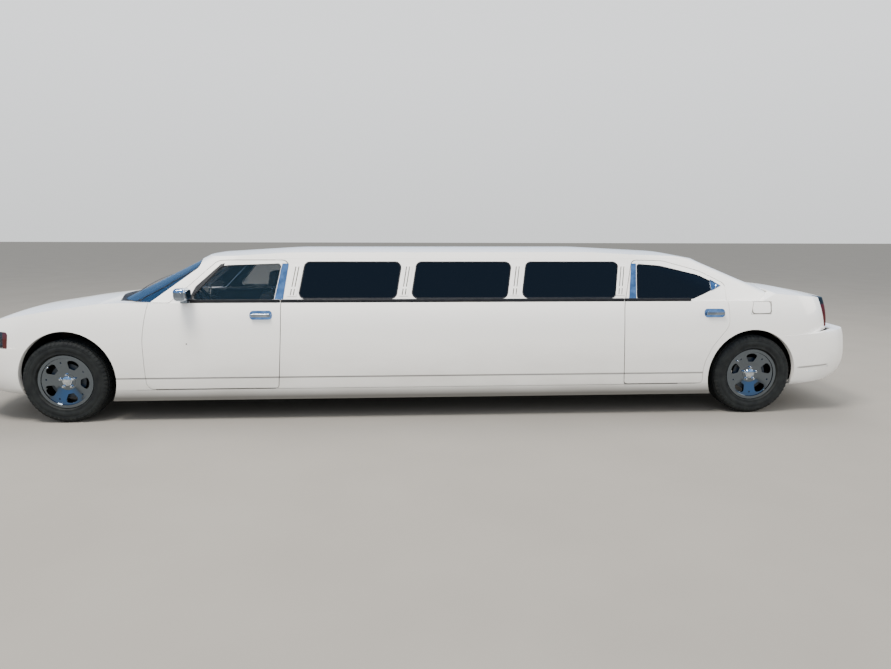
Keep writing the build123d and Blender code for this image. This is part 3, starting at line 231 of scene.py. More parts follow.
drawn_steel = surface("heat_dulled_stainless", {"Metallic": 1.0}, lambda m: {
    "Base Color": changing(m, "X", TIP_FROM - TIP_FADE, TIP_FROM, "9A9C9E", "6A635B"),
    "Roughness": uneven(m, 90.0, 0.28, 0.5, 5.0)})
coat(drawn_steel, "exhaust")


# The carpet, the headlining and the trim on the sides of the cabin.
# Tufted charcoal carpet glued to the floor, and dark grey knitted cloth on board under the roof and on the
# walls. Tufts and stitches are drawn at 2 to 4 mm, coarser than the real ones, to show close up.
CARPET_PILE = 0.005
CARPET_FROM = 0.22
LINING_WALL = 0.003
CABIN_ENDS = (-2.50, 2.20)
ABOVE_BELT = 1.045
ROOF_HALF = 0.74
# the side trim's faces, by how far they are turned inward and by their distance from the car's middle
TRIM_TURN = 0.6
TRIM_NEAR, TRIM_FAR = 0.4, 0.87
# edges that turn by more degrees than this stay sharp
LINING_CREASE = 30.0
# how much of a face's normal points one way: nearly all, or a good part
MOSTLY, PARTLY = 0.9, 0.3
# points of a CAD mesh that are nearer than this are one point
SAME_POINT = 0.00005


def let_go():
    """Leave edit mode, with nothing selected."""
    if bpy.context.mode != "OBJECT":
        bpy.ops.object.mode_set(mode="OBJECT")
    bpy.ops.object.select_all(action="DESELECT")


def activate(piece):
    """Leave edit mode and make this the one selected piece."""
    let_go()
    piece.select_set(True)
    bpy.context.view_layer.objects.active = piece


def pick(piece, test, kind="faces"):
    """In edit mode, select only the faces, edges or points that pass the test."""
    bpy.context.tool_settings.mesh_select_mode = (kind == "verts", kind == "edges", kind == "faces")
    bpy.ops.mesh.select_all(action="DESELECT")
    mesh = bmesh.from_edit_mesh(piece.data)
    for item in getattr(mesh, kind):
        if test(item):
            item.select_set(True)
    mesh.select_flush_mode()
    bmesh.update_edit_mesh(piece.data)


def apply(piece, kind, **settings):
    """Add a modifier with these settings and apply it."""
    activate(piece)
    added = piece.modifiers.new(kind.lower(), kind)
    for key, value in settings.items():
        setattr(added, key, value)
    bpy.ops.object.modifier_apply(modifier=added.name)


def settle(piece, material, body, angle=35.0):
    """Smooth the finished piece, give it its material, and seat it on its body."""
    activate(piece)
    bpy.ops.object.shade_smooth_by_angle(angle=math.radians(angle))
    piece.data.materials.clear()
    piece.data.materials.append(material)
    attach(piece, body)
    return piece


def skin(name, source, test):
    """Those faces of a CAD node that pass the test, merged, as a new piece in edit mode."""
    piece = bpy.data.objects.new(name, nodes[source].data.copy())
    bpy.context.scene.collection.objects.link(piece)
    piece.data.name = name
    activate(piece)
    bpy.ops.mesh.customdata_custom_splitnormals_clear()
    bpy.ops.object.mode_set(mode="EDIT")
    bpy.ops.mesh.select_all(action="SELECT")
    bpy.ops.mesh.remove_doubles(threshold=SAME_POINT)
    pick(piece, lambda face: not test(face.calc_center_median(), face.normal))
    bpy.ops.mesh.delete(type="FACE")
    bpy.ops.mesh.select_all(action="SELECT")
    return piece


def lined(name, source, test, thickness, material, body):
    """A lining of this thickness on the chosen faces of a CAD node."""
    piece = skin(name, source, test)
    apply(piece, "SOLIDIFY", thickness=thickness, offset=1.0)
    return settle(piece, material, body, LINING_CREASE)


def is_headlining(place, normal):
    """Whether a face of the roof panel looks down or inward into the cabin."""
    inside = CABIN_ENDS[0] < place.x < CABIN_ENDS[1] and place.z > ABOVE_BELT
    overhead = normal.z < -PARTLY and abs(place.y) < ROOF_HALF
    inward = normal.y * place.y < -PARTLY * abs(place.y)
    return inside and (overhead or inward)


carpet = surface("tufted_carpet", {"Roughness": 0.95, "Sheen Weight": 0.3}, lambda m: {
    "Base Color": mottled(m, 4.0, "26262A", "3C3B3E", 4.0),
    "Normal": grained(m, 3.0, 2.0, 0.9, 5.0)})
lining_cloth = surface("knitted_lining", {"Roughness": 0.9, "Sheen Weight": 0.2}, lambda m: {
    "Base Color": mottled(m, 3.0, "45433F", "55524D", 4.0),
    "Normal": grained(m, 2.0, 0.4, 0.5, 4.0)})
lined("floor_carpet", "floor_pan", lambda p, n: n.z > MOSTLY and p.z > CARPET_FROM,
      CARPET_PILE, carpet, "body")
lined("headlining", "roof_panel", is_headlining, LINING_WALL, lining_cloth, "body")
for side, sign in (("left", 1), ("right", -1)):
    lined("side_trim_" + side, "stretch_panels",
          lambda p, n: n.y * sign < -TRIM_TURN and TRIM_NEAR < p.y * sign < TRIM_FAR,
          LINING_WALL, lining_cloth, "body")


# The body panels.
# Pressed steel sprayed white under a clear coat, which is glossy, with grey road film low on the sides and
# painted shade in the creases and along the sills.
# the height of the side crease, along which painted shade lies
CREASE_Z = 0.3925
CREASE_SHADE = 0.75
# how far from the middle of a crease its painted shade begins to thin out and is gone
CREASE_SPREAD = (0.004, 0.010)
# the rear bumper's crease rises to the rear by this slope, between two places along X, and fades at both
BUMPER_CREASE_SLOPE, BUMPER_CREASE_LEVEL = 0.083, 0.143
BUMPER_CREASE_ENDS = (-3.70, -3.44)
BUMPER_CREASE_FADE = 0.03
# the colour of the painted shade in the creases and along the sills
PAINTED_SHADE = "5E5D5A"
# the film, and the painted shade on the sills, thin out between these heights
FILM_HEIGHTS = (0.22, 0.8)
SILL_HEIGHTS = (0.215, 0.305)
SILL_SHADE = 0.95
CLEAN_WHITE, FILMED_WHITE = "F7F7F5", "D6D4CF"
FILM_FROM = 0.1
# the film lies in patches that are long along the car and low
FILM_PATCH_MM, FILM_STRETCH = 380.0, (0.5, 1.0, 1.6)
FILM_LEAST = 0.35


def under_painted_shade(material, colour, share):
    """A colour with this share of painted shade over it."""
    return node(material, "MixRGB", {"Color2": hue(PAINTED_SHADE)}, {"Fac": share, "Color1": colour}).outputs["Color"]


def road_film_and_sill_shade(material):
    """White paint under grey film, which is heaviest at the sills and gone by the door handles, with painted
    shade darkening the sills towards the bottom.
    """
    height = fading(material, "Z", *FILM_HEIGHTS, 1.0, 0.0)
    patches = uneven(material, FILM_PATCH_MM, FILM_LEAST, 1.0, 6.0, FILM_STRETCH)
    film = node(material, "Math", None, {0: height, 1: patches}, operation="MULTIPLY").outputs["Value"]
    colour = node(material, "ValToRGB", None, {"Fac": film}, [(FILM_FROM, CLEAN_WHITE), (1.0, FILMED_WHITE)])
    # painted shade darkens the sills towards their bottom edge
    return under_painted_shade(material, colour.outputs["Color"], fading(material, "Z", *SILL_HEIGHTS, SILL_SHADE, 0.0))


def held_shade(material, level):
    """The share of painted shade in a crease, which lies where this level is nothing."""
    away = node(material, "Math", None, {0: level}, operation="ABSOLUTE").outputs["Value"]
    near, gone = CREASE_SPREAD
    values = {"From Min": near, "From Max": gone, "To Min": CREASE_SHADE, "To Max": 0.0}
    return node(material, "MapRange", values, {"Value": away}).outputs["Result"]


def door_crease(material):
    """The film, and painted shade in a level crease."""
    place = node(material, "SeparateXYZ", None, {"Vector": node(material, "TexCoord").outputs["Object"]})
    level = node(material, "Math", {1: CREASE_Z}, {0: place.outputs["Z"]}, operation="SUBTRACT")
    return under_painted_shade(material, road_film_and_sill_shade(material), held_shade(material, level.outputs["Value"]))


def bumper_crease(material):
    """The film, and painted shade in a crease that rises to the rear and fades at both ends."""
    place = node(material, "SeparateXYZ", None, {"Vector": node(material, "TexCoord").outputs["Object"]})
    slope = node(material, "Math", {1: BUMPER_CREASE_SLOPE}, {0: place.outputs["X"]}, operation="MULTIPLY")
    rising = node(material, "Math", None, {0: place.outputs["Z"], 1: slope.outputs["Value"]}, operation="ADD")
    level = node(material, "Math", {1: BUMPER_CREASE_LEVEL}, {0: rising.outputs["Value"]},
                 operation="SUBTRACT")
    # painted shade along the bumper's crease
    share = held_shade(material, level.outputs["Value"])
    rear, front = BUMPER_CREASE_ENDS
    for limit in (fading(material, "X", rear - BUMPER_CREASE_FADE, rear, 0.0, 1.0),
                  fading(material, "X", front, front + BUMPER_CREASE_FADE, 1.0, 0.0)):
        share = node(material, "Math", None, {0: share, 1: limit}, operation="MULTIPLY").outputs["Value"]
    return under_painted_shade(material, road_film_and_sill_shade(material), share)


PAINT = {"Roughness": 0.38, "Coat Weight": 0.8, "Coat Roughness": 0.05, "Coat IOR": 1.5}
enamel = surface("sprayed_white_enamel", PAINT, lambda m: {"Base Color": road_film_and_sill_shade(m)})
crease_shaded_enamel = surface("white_enamel_with_painted_crease_shade", PAINT, lambda m: {"Base Color": door_crease(m)})
bumper_enamel = surface("white_enamel_on_plastic", PAINT, lambda m: {"Base Color": bumper_crease(m)})
DOORS = ("front_left", "front_right", "rear_left", "rear_right")
coat(enamel, "hood", "quarter_panels", "roof_panel", "trunk_lid", "sills", "bumper_front")
coat(crease_shaded_enamel, "fenders", "stretch_panels", *["door_" + door for door in DOORS])
coat(bumper_enamel, "bumper_rear")

# The chip in the paint of the left front door.
# A stone chip down to the dark primer, a few millimetres across, with a chipped edge.
CHIP_PLACE = (2.039, 0.9459, 0.693)
CHIP_RADIUS = 0.006
CHIP_SIDES = 9
CHIP_EDGE, CHIP_DEPTH = 0.002, 0.0002
FACING_LEFT = (-math.pi / 2, 0.0, 0.0)


def begin(kind, name, place=(0.0, 0.0, 0.0), tilt=(0.0, 0.0, 0.0), scale=(1.0, 1.0, 1.0), **settings):
    """Add a primitive at its place and size, and go into edit mode with all of it selected."""
    let_go()
    getattr(bpy.ops.mesh, "primitive_" + kind + "_add")(location=place, rotation=tilt, **settings)
    piece = bpy.context.object
    piece.name = piece.data.name = name
    piece.scale = scale
    bpy.ops.object.transform_apply(location=True, rotation=True, scale=True)
    bpy.ops.object.mode_set(mode="EDIT")
    bpy.ops.mesh.select_all(action="SELECT")
    return piece


chip = begin("circle", "paint_chip", CHIP_PLACE, FACING_LEFT, vertices=CHIP_SIDES, radius=CHIP_RADIUS,
             fill_type="NGON")
bpy.ops.mesh.inset(thickness=CHIP_EDGE, depth=-CHIP_DEPTH)
primer = surface("bare_primer", {"Roughness": 0.7}, lambda m: {
    "Base Color": mottled(m, 3.0, "2B2622", "4A443E")})
settle(chip, primer, "door_front_left")

# The door linings: a padded card and an armrest on each door's inner face, and trim round its window.
# Grained plastic over board, screwed to the door, with a soft armrest that has a finger pocket in its top.
# It looks dark and matt. The grain is drawn at 3 mm, coarser than the real one, so that it shows close up.
CARD_WALL = 0.004
FRAME_WALL = 0.002
DOOR_INNER = 0.8355
# a card ends at this distance from the car's middle and at this height, and stands in from the door's edge
CARD_FAR, CARD_TOP = 0.86, 1.04
CARD_INSET = 0.02
ARMREST = (0.52, 0.062, 0.055)
ARMREST_Z = 0.70
ARMREST_ROUND = 0.016
# door: middle of its armrest, along X
ARMREST_X = {"front_left": 1.72, "front_right": 1.72, "rear_left": -2.16, "rear_right": -2.16}
# only an armrest's flat top is larger than this, in square metres
POCKET_AREA = 0.003
POCKET_RIM, POCKET_WALL, POCKET_DEPTH = 0.012, 0.003, 0.006
grained_plastic = surface("grained_soft_plastic", {"Roughness": 0.6}, lambda m: {
    "Base Color": mottled(m, 300.0, "232427", "2D2E31"),
    "Normal": grained(m, 3.0, 0.3, 0.5)})
for door in DOORS:
    sign = 1 if door.endswith("left") else -1
    card = skin("door_card_" + door, "door_" + door,
                lambda p, n: n.y * sign < -MOSTLY and abs(p.y) < CARD_FAR and p.z < CARD_TOP)
    bpy.ops.mesh.inset(thickness=CARD_INSET, use_boundary=True)
    bpy.ops.mesh.select_all(action="INVERT")
    bpy.ops.mesh.delete(type="FACE")
    apply(card, "SOLIDIFY", thickness=CARD_WALL, offset=1.0)
    settle(card, grained_plastic, "door_" + door, LINING_CREASE)
    lined("window_frame_trim_" + door, "door_" + door,
          lambda p, n: n.y * sign < -PARTLY and p.z > ABOVE_BELT, FRAME_WALL, grained_plastic, "door_" + door)
    armrest_y = DOOR_INNER - CARD_WALL - ARMREST[1] / 2
    rest = begin("cube", "armrest_" + door, (ARMREST_X[door], sign * armrest_y, ARMREST_Z), scale=ARMREST,
                 size=1.0)
    bpy.ops.mesh.bevel(offset=ARMREST_ROUND, segments=4, affect="EDGES")
    pick(rest, lambda face: face.normal.z > MOSTLY and face.calc_area() > POCKET_AREA)
    bpy.ops.mesh.inset(thickness=POCKET_RIM)
    bpy.ops.mesh.inset(thickness=POCKET_WALL, depth=-POCKET_DEPTH)
    settle(rest, grained_plastic, "door_" + door)


# The fixed glass and door windows, each in a black rubber gasket.
# Float glass with a near-black film inside, but the windshield and front door windows are only lightly
# tinted, so that the steering wheel shows through them. The gaskets are extruded and seated on the glass.
DARK_GLASS_TO, LIGHT_GLASS_FROM = 1.2, 1.4
GASKET_WIDTH = 0.010
DOOR_GASKET_WIDTH = 0.006
GASKET_RISE = 0.0035
GASKET_CREASE = 50.0
STRETCH_PANES = (-2.2, 1.3)
WINDSHIELD_FROM = 1.5
BACKLIGHT_TURN = 0.2
# a leaning door window's lower edge is turned outward less than this
DOOR_PANE_TURN = 0.4
dark_film = surface("filmed_float_glass", {
    "Base Color": "050605", "Roughness": 0.03, "Alpha": 0.95, "Specular IOR Level": 0.35})
light_glass = surface("tinted_float_glass", {"Base Color": "1B2A33", "Roughness": 0.02, "Alpha": 0.26})
both_glass = surface("tinted_and_filmed_glass", {"Roughness": 0.03, "Specular IOR Level": 0.35}, lambda m: {
    "Base Color": changing(m, "X", DARK_GLASS_TO, LIGHT_GLASS_FROM, "050605", "1A3350"),
    "Alpha": fading(m, "X", DARK_GLASS_TO, LIGHT_GLASS_FROM, 0.95, 0.66)})
coat(dark_film, "glass_rear_left", "glass_rear_right")
coat(light_glass, "glass_front_left", "glass_front_right")
coat(both_glass, "fixed_glass")

# Rubber, softly shiny, with paler worn patches
gasket_rubber = surface("extruded_rubber", {"Roughness": 0.55, "Specular IOR Level": 0.4}, lambda m: {
    "Base Color": mottled(m, 40.0, "0B0C0E", "1B1C1E", 5.0)})


def gasket(name, source, body, test, width=GASKET_WIDTH):
    """A rubber ring on the edge of each pane that the test finds."""
    piece = skin(name, source, test)
    bpy.ops.mesh.inset(thickness=width, use_boundary=True)
    bpy.ops.mesh.delete(type="FACE")
    bpy.ops.mesh.select_all(action="SELECT")
    apply(piece, "SOLIDIFY", thickness=GASKET_RISE, offset=1.0)
    return settle(piece, gasket_rubber, body, GASKET_CREASE)


gasket("gaskets_stretch", "fixed_glass", "body",
       lambda p, n: n.y * p.y > PARTLY and STRETCH_PANES[0] < p.x < STRETCH_PANES[1])
gasket("gasket_windshield", "fixed_glass", "body",
       lambda p, n: n.x > PARTLY and n.z > PARTLY and p.x > WINDSHIELD_FROM)
gasket("gasket_backlight", "fixed_glass", "body",
       lambda p, n: n.x < -BACKLIGHT_TURN and n.z > PARTLY and p.x < STRETCH_PANES[0])
for door in DOORS:
    gasket("gasket_" + door, "glass_" + door, "door_" + door, lambda p, n: n.y * p.y > DOOR_PANE_TURN,
           DOOR_GASKET_WIDTH)

# The belt moulding, a black strip under the side windows from the mirror to the rear door's quarter.
# Extruded rubber over a steel core, pushed on to the top edge of the doors and the stretch panels.
BELT_LOW, BELT_HIGH = 1.038, 1.067
BELT_IN, BELT_OUT = 0.868, 0.8955
BELT_ROUND = 0.003
BELT_GAP = 0.004
B_SHUT, C_SHUT = 1.245, -1.785
# name, body on the left, body on the right, rear end, front end
BELTS = [
    ("front", "door_front_left", "door_front_right", B_SHUT + BELT_GAP, 2.010),
    ("stretch", "body", "body", C_SHUT + BELT_GAP, B_SHUT - BELT_GAP),
    ("rear", "door_rear_left", "door_rear_right", -2.395, C_SHUT - BELT_GAP),
]
MIRROR = Matrix.Scale(-1.0, 4, (0.0, 1.0, 0.0))


def again(piece, name, matrix, body):
    """A copy with its own mesh, moved or mirrored, on its own body."""
    copy = bpy.data.objects.new(name, piece.data.copy())
    bpy.context.scene.collection.objects.link(copy)
    copy.data.name = name
    copy.data.transform(matrix)
    if matrix.determinant() < 0:
        copy.data.flip_normals()
    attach(copy, body)
    return copy


for name, left_body, right_body, rear, front in BELTS:
    middle = ((rear + front) / 2, (BELT_IN + BELT_OUT) / 2, (BELT_LOW + BELT_HIGH) / 2)
    strip = begin("cube", "belt_" + name + "_left", middle,
                  scale=(front - rear, BELT_OUT - BELT_IN, BELT_HIGH - BELT_LOW), size=1.0)
    bpy.ops.mesh.bevel(offset=BELT_ROUND, segments=3, affect="EDGES")
    settle(strip, gasket_rubber, left_body)
    again(strip, "belt_" + name + "_right", MIRROR, right_body)


# The black sails between the mirrors and the front door windows.
# Thin moulded plates faced with the gaskets' rubber, clipped over the front of each window frame, in line
# with the glass.
SAIL_CORNERS = [(2.030, 1.052), (1.973, 1.174), (1.771, 1.364), (1.740, 1.370), (1.740, 1.052)]
SAIL_WALL = 0.002
SAIL_FROM = 1.0


def outlined(name, source, test, corners):
    """The faces of a CAD node inside an outline of (x, z) corners, which go round anticlockwise."""
    piece = skin(name, source, test)
    for (x, z), (next_x, next_z) in zip(corners, corners[1:] + corners[:1]):
        bpy.ops.mesh.select_all(action="SELECT")
        bpy.ops.mesh.bisect(plane_co=(x, 0.0, z), plane_no=(next_z - z, 0.0, x - next_x), clear_outer=True)
    bpy.ops.mesh.select_all(action="SELECT")
    return piece


for side in ("left", "right"):
    sail = outlined("sail_" + side, "door_front_" + side, lambda p, n: n.y * p.y > PARTLY and p.z > SAIL_FROM,
                    SAIL_CORNERS)
    apply(sail, "SOLIDIFY", thickness=SAIL_WALL, offset=1.0)
    settle(sail, gasket_rubber, "door_front_" + side)

# The gap round the fuel door, in the left rear quarter.
# A hinged flap of the same pressed steel, of which only the gap round it shows, as a grey strip of painted
# shadow.
FUEL_CORNERS = [(-3.138, 0.921), (-2.946, 0.921), (-2.976, 1.034), (-3.150, 1.034)]
FUEL_FROM = 0.8
GAP_WIDTH, GAP_WALL = 0.0035, 0.0005
gap = outlined("fuel_door_gap", "quarter_panels", lambda p, n: n.y > PARTLY and p.z > FUEL_FROM, FUEL_CORNERS)
bpy.ops.mesh.inset(thickness=GAP_WIDTH, use_boundary=True)
bpy.ops.mesh.delete(type="FACE")
apply(gap, "SOLIDIFY", thickness=GAP_WALL, offset=1.0)
# the gap's strip is painted shadow
painted_gap_shadow = surface("painted_gap_shadow", {"Roughness": 0.8}, lambda m: {
    "Base Color": mottled(m, 60.0, "6A6966", "83817D")})
settle(gap, painted_gap_shadow, "body")

# Chrome trim: door handles, mirror caps, pillar strips and the grille.
# Plated metal, mirror-bright with faint smears and a little blue against the white paint; that darkened
# blue-grey is painted reflection of sky and ground.
chrome = surface("plated_chrome", {"Metallic": 1.0}, lambda m: {
    # the blue-grey colour is painted reflection of sky and ground
    "Base Color": mottled(m, 60.0, "8F9CAC", "BCC6D2", 4.0),
    "Roughness": uneven(m, 35.0, 0.04, 0.14, 5.0)})
coat(chrome, "grille", *["fittings_" + door for door in DOORS])

# The corner plates behind the rear door windows.
# Thin chromed sheet, stuck over the rear tip of each window and its frame.
CORNERS = [(-2.704, 1.170), (-2.600, 1.127), (-2.612, 1.226)]
CORNER_WALL = 0.0045
CORNER_FROM = 1.1


def join(pieces, name):
    """Join pieces into the first, under one name."""
    activate(pieces[0])
    for piece in pieces[1:]:
        piece.select_set(True)
    bpy.ops.object.join()
    pieces[0].name = pieces[0].data.name = name
    return pieces[0]


for side in ("left", "right"):
    halves = []
    for source in ("door_rear_", "glass_rear_"):
        half = outlined("corner_plate", source + side, lambda p, n: n.y * p.y > PARTLY and p.z > CORNER_FROM,
                        CORNERS)
        apply(half, "SOLIDIFY", thickness=CORNER_WALL, offset=1.0)
        halves.append(half)
    settle(join(halves, "corner_plate_" + side), chrome, "door_rear_" + side)

# The louvred plates on the pillars, and painted shade behind their slots.
# Each plate is painted white with the body, over a black sheet a millimetre thick on the pillar, which is
# painted shade in the slots.
LOUVRE_LOW, LOUVRE_HIGH = 1.098, 1.346
LOUVRE_HALF = 0.024
# each plate's middle at its foot, along X
LOUVRE_FEET = (1.1525, 0.1847, -0.7957, -1.752)
PILLAR_LEAN = 0.17
SIDE_LEAN = 0.40
SIDE_AT_BELT, BELT = 0.880, 1.040
BACK_WALL = 0.001
# a black sheet that is painted shade seen through the slots
slot_shade_paint = surface("painted_slot_shade", {"Roughness": 0.6}, lambda m: {
    "Base Color": mottled(m, 30.0, "0D0C0B", "2A2522")})
coat(enamel, "pillar_louvres")
foot_y = SIDE_AT_BELT - SIDE_LEAN * (LOUVRE_LOW - BELT) + BACK_WALL
foot_z = LOUVRE_LOW + LOUVRE_HALF
rise = LOUVRE_HIGH - LOUVRE_LOW
backs = []
for foot in LOUVRE_FEET:
    back = begin("plane", "louvre_back", (foot, foot_y, foot_z), FACING_LEFT, size=2 * LOUVRE_HALF)
    pick(back, lambda v: v.co.z > foot_z, "verts")
    bpy.ops.transform.translate(value=(-PILLAR_LEAN * rise, -SIDE_LEAN * rise, rise - 2 * LOUVRE_HALF))
    apply(back, "SOLIDIFY", thickness=BACK_WALL, offset=0.0)
    backs.append(back)
backs = settle(join(backs, "louvre_slot_shades_left"), slot_shade_paint, "body")
again(backs, "louvre_slot_shades_right", MIRROR, "body")

# The mirror glasses.
# Silvered glass with a bevelled edge, clipped into the rear face of each mirror housing.
GLASS_WIDTH, GLASS_HEIGHT = 0.128, 0.076
GLASS_PLACE = (1.9865, 0.985, 1.122)
GLASS_ROUND = 0.022
GLASS_WALL = 0.003
GLASS_EDGE, GLASS_STEP = 0.004, 0.001
silvered = surface("silvered_glass", {"Metallic": 1.0, "Roughness": 0.02}, lambda m: {
    "Base Color": mottled(m, 50.0, "B9C3CC", "C6CFD7")})
glass = begin("plane", "mirror_glass_left", GLASS_PLACE, (0.0, -math.pi / 2, 0.0),
              (GLASS_HEIGHT, GLASS_WIDTH, 1.0), size=1.0)
bpy.ops.mesh.bevel(offset=GLASS_ROUND, segments=6, affect="VERTICES")
bpy.ops.mesh.select_all(action="SELECT")
bpy.ops.mesh.extrude_region_move(TRANSFORM_OT_translate={"value": (-GLASS_WALL, 0.0, 0.0)})
bpy.ops.mesh.inset(thickness=GLASS_EDGE, depth=-GLASS_STEP)
bpy.ops.mesh.select_all(action="SELECT")
bpy.ops.mesh.normals_make_consistent(inside=False)
settle(glass, silvered, "door_front_left")
again(glass, "mirror_glass_right", MIRROR, "door_front_right")

# The mesh behind the grille.
# Woven black-coated wire at a 20 mm pitch, held behind the bars.
MESH_CELLS = (40, 9)
MESH_WIRE = 0.003
MESH_LOW, MESH_HIGH = 0.575, 0.745
MESH_WIDTH = 0.80
# how far ahead of the grille's rear face it lies
MESH_AHEAD = 0.020
mesh_middle = (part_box("grille")[0][0] + MESH_AHEAD, 0.0, (MESH_LOW + MESH_HIGH) / 2)
mesh = begin("grid", "grille_mesh", mesh_middle, (0.0, math.pi / 2, 0.0),
             (MESH_HIGH - MESH_LOW, MESH_WIDTH, 1.0), size=1.0,
             x_subdivisions=MESH_CELLS[1], y_subdivisions=MESH_CELLS[0])
coated_wire = surface("coated_wire", {"Roughness": 0.5}, lambda m: {
    "Base Color": mottled(m, 20.0, "0A0A0B", "151516")})
apply(mesh, "WIREFRAME", thickness=MESH_WIRE)
settle(mesh, coated_wire, "body")

# The lamps.
# Moulded polycarbonate lenses, clear and a little smoky in front, and behind dark red below a black band.
# Each headlamp holds two aluminised bowls, and the rear end of its lens is a red marker.
MARKER_FRONT = 3.585
MARKER_FADE = 0.002
TAIL_RED_TO, TAIL_BLACK_FROM = 0.985, 1.0
# how fine the level ribs moulded in the tail lens are, and how deep
RIB_SCALE, RIB_DEPTH = 40.0, 0.0005
BOWL_Z = 0.727
# bowl's middle: along X, along Y
BOWLS = [(3.80, 0.66), (3.86, 0.53)]
# radius, how far forward
BOWL_STEPS = [(0.056, 0.0), (0.058, -0.004), (0.054, -0.006), (0.046, -0.022), (0.034, -0.036),
              (0.020, -0.044), (0.020, -0.030), (0.016, -0.022), (0.008, -0.018)]
BOWL_SIDES = 32
# points of a turned piece that are nearer than this are one point
TURNED_SAME_POINT = 0.00001


def ribbed(material):
    """The bump of the level ribs in a tail lamp's lens."""
    place = node(material, "TexCoord").outputs["Object"]
    wave = node(material, "TexWave", {"Scale": RIB_SCALE}, {"Vector": place}, bands_direction="Z")
    return node(material, "Bump", {"Strength": 0.4, "Distance": RIB_DEPTH},
                {"Height": wave.outputs["Fac"]}).outputs["Normal"]


head_lens = surface("smoked_polycarbonate", {"Roughness": 0.05, "Coat Weight": 0.6}, lambda m: {
    "Base Color": changing(m, "X", MARKER_FRONT - MARKER_FADE, MARKER_FRONT, "481414", "20282E"),
    "Alpha": fading(m, "X", MARKER_FRONT - MARKER_FADE, MARKER_FRONT, 0.97, 0.55)})
tail_lens = surface("red_polycarbonate", {"Roughness": 0.3, "Specular IOR Level": 0.03}, lambda m: {
    "Base Color": changing(m, "Z", TAIL_RED_TO, TAIL_BLACK_FROM, "4A0A0E", "0C1413"),
    "Normal": ribbed(m)})
coat(head_lens, "headlamps")
coat(tail_lens, "tail_lamps")


def turned(name, place, steps, segments, axis, closed=True):
    """A ring drawn out step by step (radius, along the axis) from a circle, and closed at the last ring."""
    tilt = {"X": (0.0, math.pi / 2, 0.0), "Y": (math.pi / 2, 0.0, 0.0)}[axis]
    way = {"X": Vector((1.0, 0.0, 0.0)), "Y": Vector((0.0, 1.0, 0.0))}[axis]
    centre = Vector(place)
    piece = begin("circle", name, centre + way * steps[0][1], tilt, vertices=segments, radius=steps[0][0])
    for (radius, before), (wider, after) in zip(steps, steps[1:]):
        share = wider / radius
        size = tuple(1.0 if component else share for component in way)
        bpy.ops.mesh.extrude_edges_move(TRANSFORM_OT_translate={"value": way * (after - before)})
        bpy.ops.transform.resize(value=size, center_override=centre)
    if closed:
        bpy.ops.mesh.merge(type="CENTER")
    bpy.ops.mesh.select_all(action="SELECT")
    bpy.ops.mesh.remove_doubles(threshold=TURNED_SAME_POINT)
    bpy.ops.mesh.normals_make_consistent(inside=False)
    return piece


aluminised = surface("aluminised_bowl", {"Metallic": 1.0, "Roughness": 0.12}, lambda m: {
    "Base Color": mottled(m, 30.0, "C9CDD0", "E2E5E7")})
bowls = [turned("bowl", (x, y, BOWL_Z), BOWL_STEPS, BOWL_SIDES, "X") for x, y in BOWLS]
bowls = settle(join(bowls, "reflector_bowls_left"), aluminised, "body")
again(bowls, "reflector_bowls_right", MIRROR, "body")

# The wipers.
# Pressed steel in satin black: each is one strip here, arm and blade together, which lies along the glass
# from its spindle in the cowl.
WIPER_RISE = 0.012
WIPER_STEPS = 12
WIPER_WIDTH, WIPER_ROUND = 0.010, 0.0015
# a step is left out where it would end nearer than this to the spindle
WIPER_START = 0.004
# spindle along X and Y, far end of the blade along X and Y
WIPERS = [(2.530, 0.60, 2.395, 0.06), (2.545, -0.02, 2.400, -0.60)]
COWL_LEVEL = 0.9
ABOVE_CAR = 3.0


def glass_height(x, y):
    """How high the windshield or the hood lies at this place."""
    heights = [COWL_LEVEL]
    for name in ("fixed_glass", "hood", "cowl"):
        hit, spot, _, _ = nodes[name].ray_cast(Vector((x, y, ABOVE_CAR)), Vector((0.0, 0.0, -1.0)))
        if hit:
            heights.append(spot.z)
    return max(heights)


satin_black = surface("satin_black_steel", {"Roughness": 0.45}, lambda m: {
    "Base Color": mottled(m, 30.0, "0E0F10", "1A1B1C")})
for number, (x, y, far_x, far_y) in enumerate(WIPERS):
    spots = []
    for i in range(WIPER_STEPS + 1):
        share = i / WIPER_STEPS
        px, py = x + (far_x - x) * share, y + (far_y - y) * share
        spots.append(Vector((px, py, glass_height(px, py) + WIPER_RISE)))
    blade = begin("plane", "wiper_blade_%d" % number, spots[0], size=WIPER_WIDTH)
    for before, after in zip(spots, spots[1:]):
        if (after - spots[0]).length > WIPER_START:
            bpy.ops.mesh.extrude_region_move(TRANSFORM_OT_translate={"value": after - before})
    bpy.ops.mesh.select_all(action="SELECT")
    bpy.ops.mesh.normals_make_consistent(inside=False)
    apply(blade, "BEVEL", width=WIPER_ROUND, segments=2)
    settle(blade, satin_black, "body")

# The dashboard, its cowl over the dials, and the steering wheel.
# Moulded soft plastic in charcoal with a fine leather-like grain.
BINNACLE_PLACE = (2.245, 0.38, 0.985)
BINNACLE_SIZE = (0.17, 0.34, 0.085)
BINNACLE_ROUND = 0.03
# only the flat rear face is larger than this, in square metres
DIAL_AREA = 0.002
DIAL_RIM, DIAL_WALL, DIAL_DEPTH = 0.006, 0.004, 0.035
coat(grained_plastic, "dashboard", "steering_wheel")
binnacle = begin("cube", "dial_cowl", BINNACLE_PLACE, scale=BINNACLE_SIZE, size=1.0)
bpy.ops.mesh.bevel(offset=BINNACLE_ROUND, segments=5, affect="EDGES")
pick(binnacle, lambda face: face.normal.x < -MOSTLY and face.calc_area() > DIAL_AREA)
bpy.ops.mesh.inset(thickness=DIAL_RIM)
bpy.ops.mesh.inset(thickness=DIAL_WALL, depth=-DIAL_DEPTH)
settle(binnacle, grained_plastic, "body")

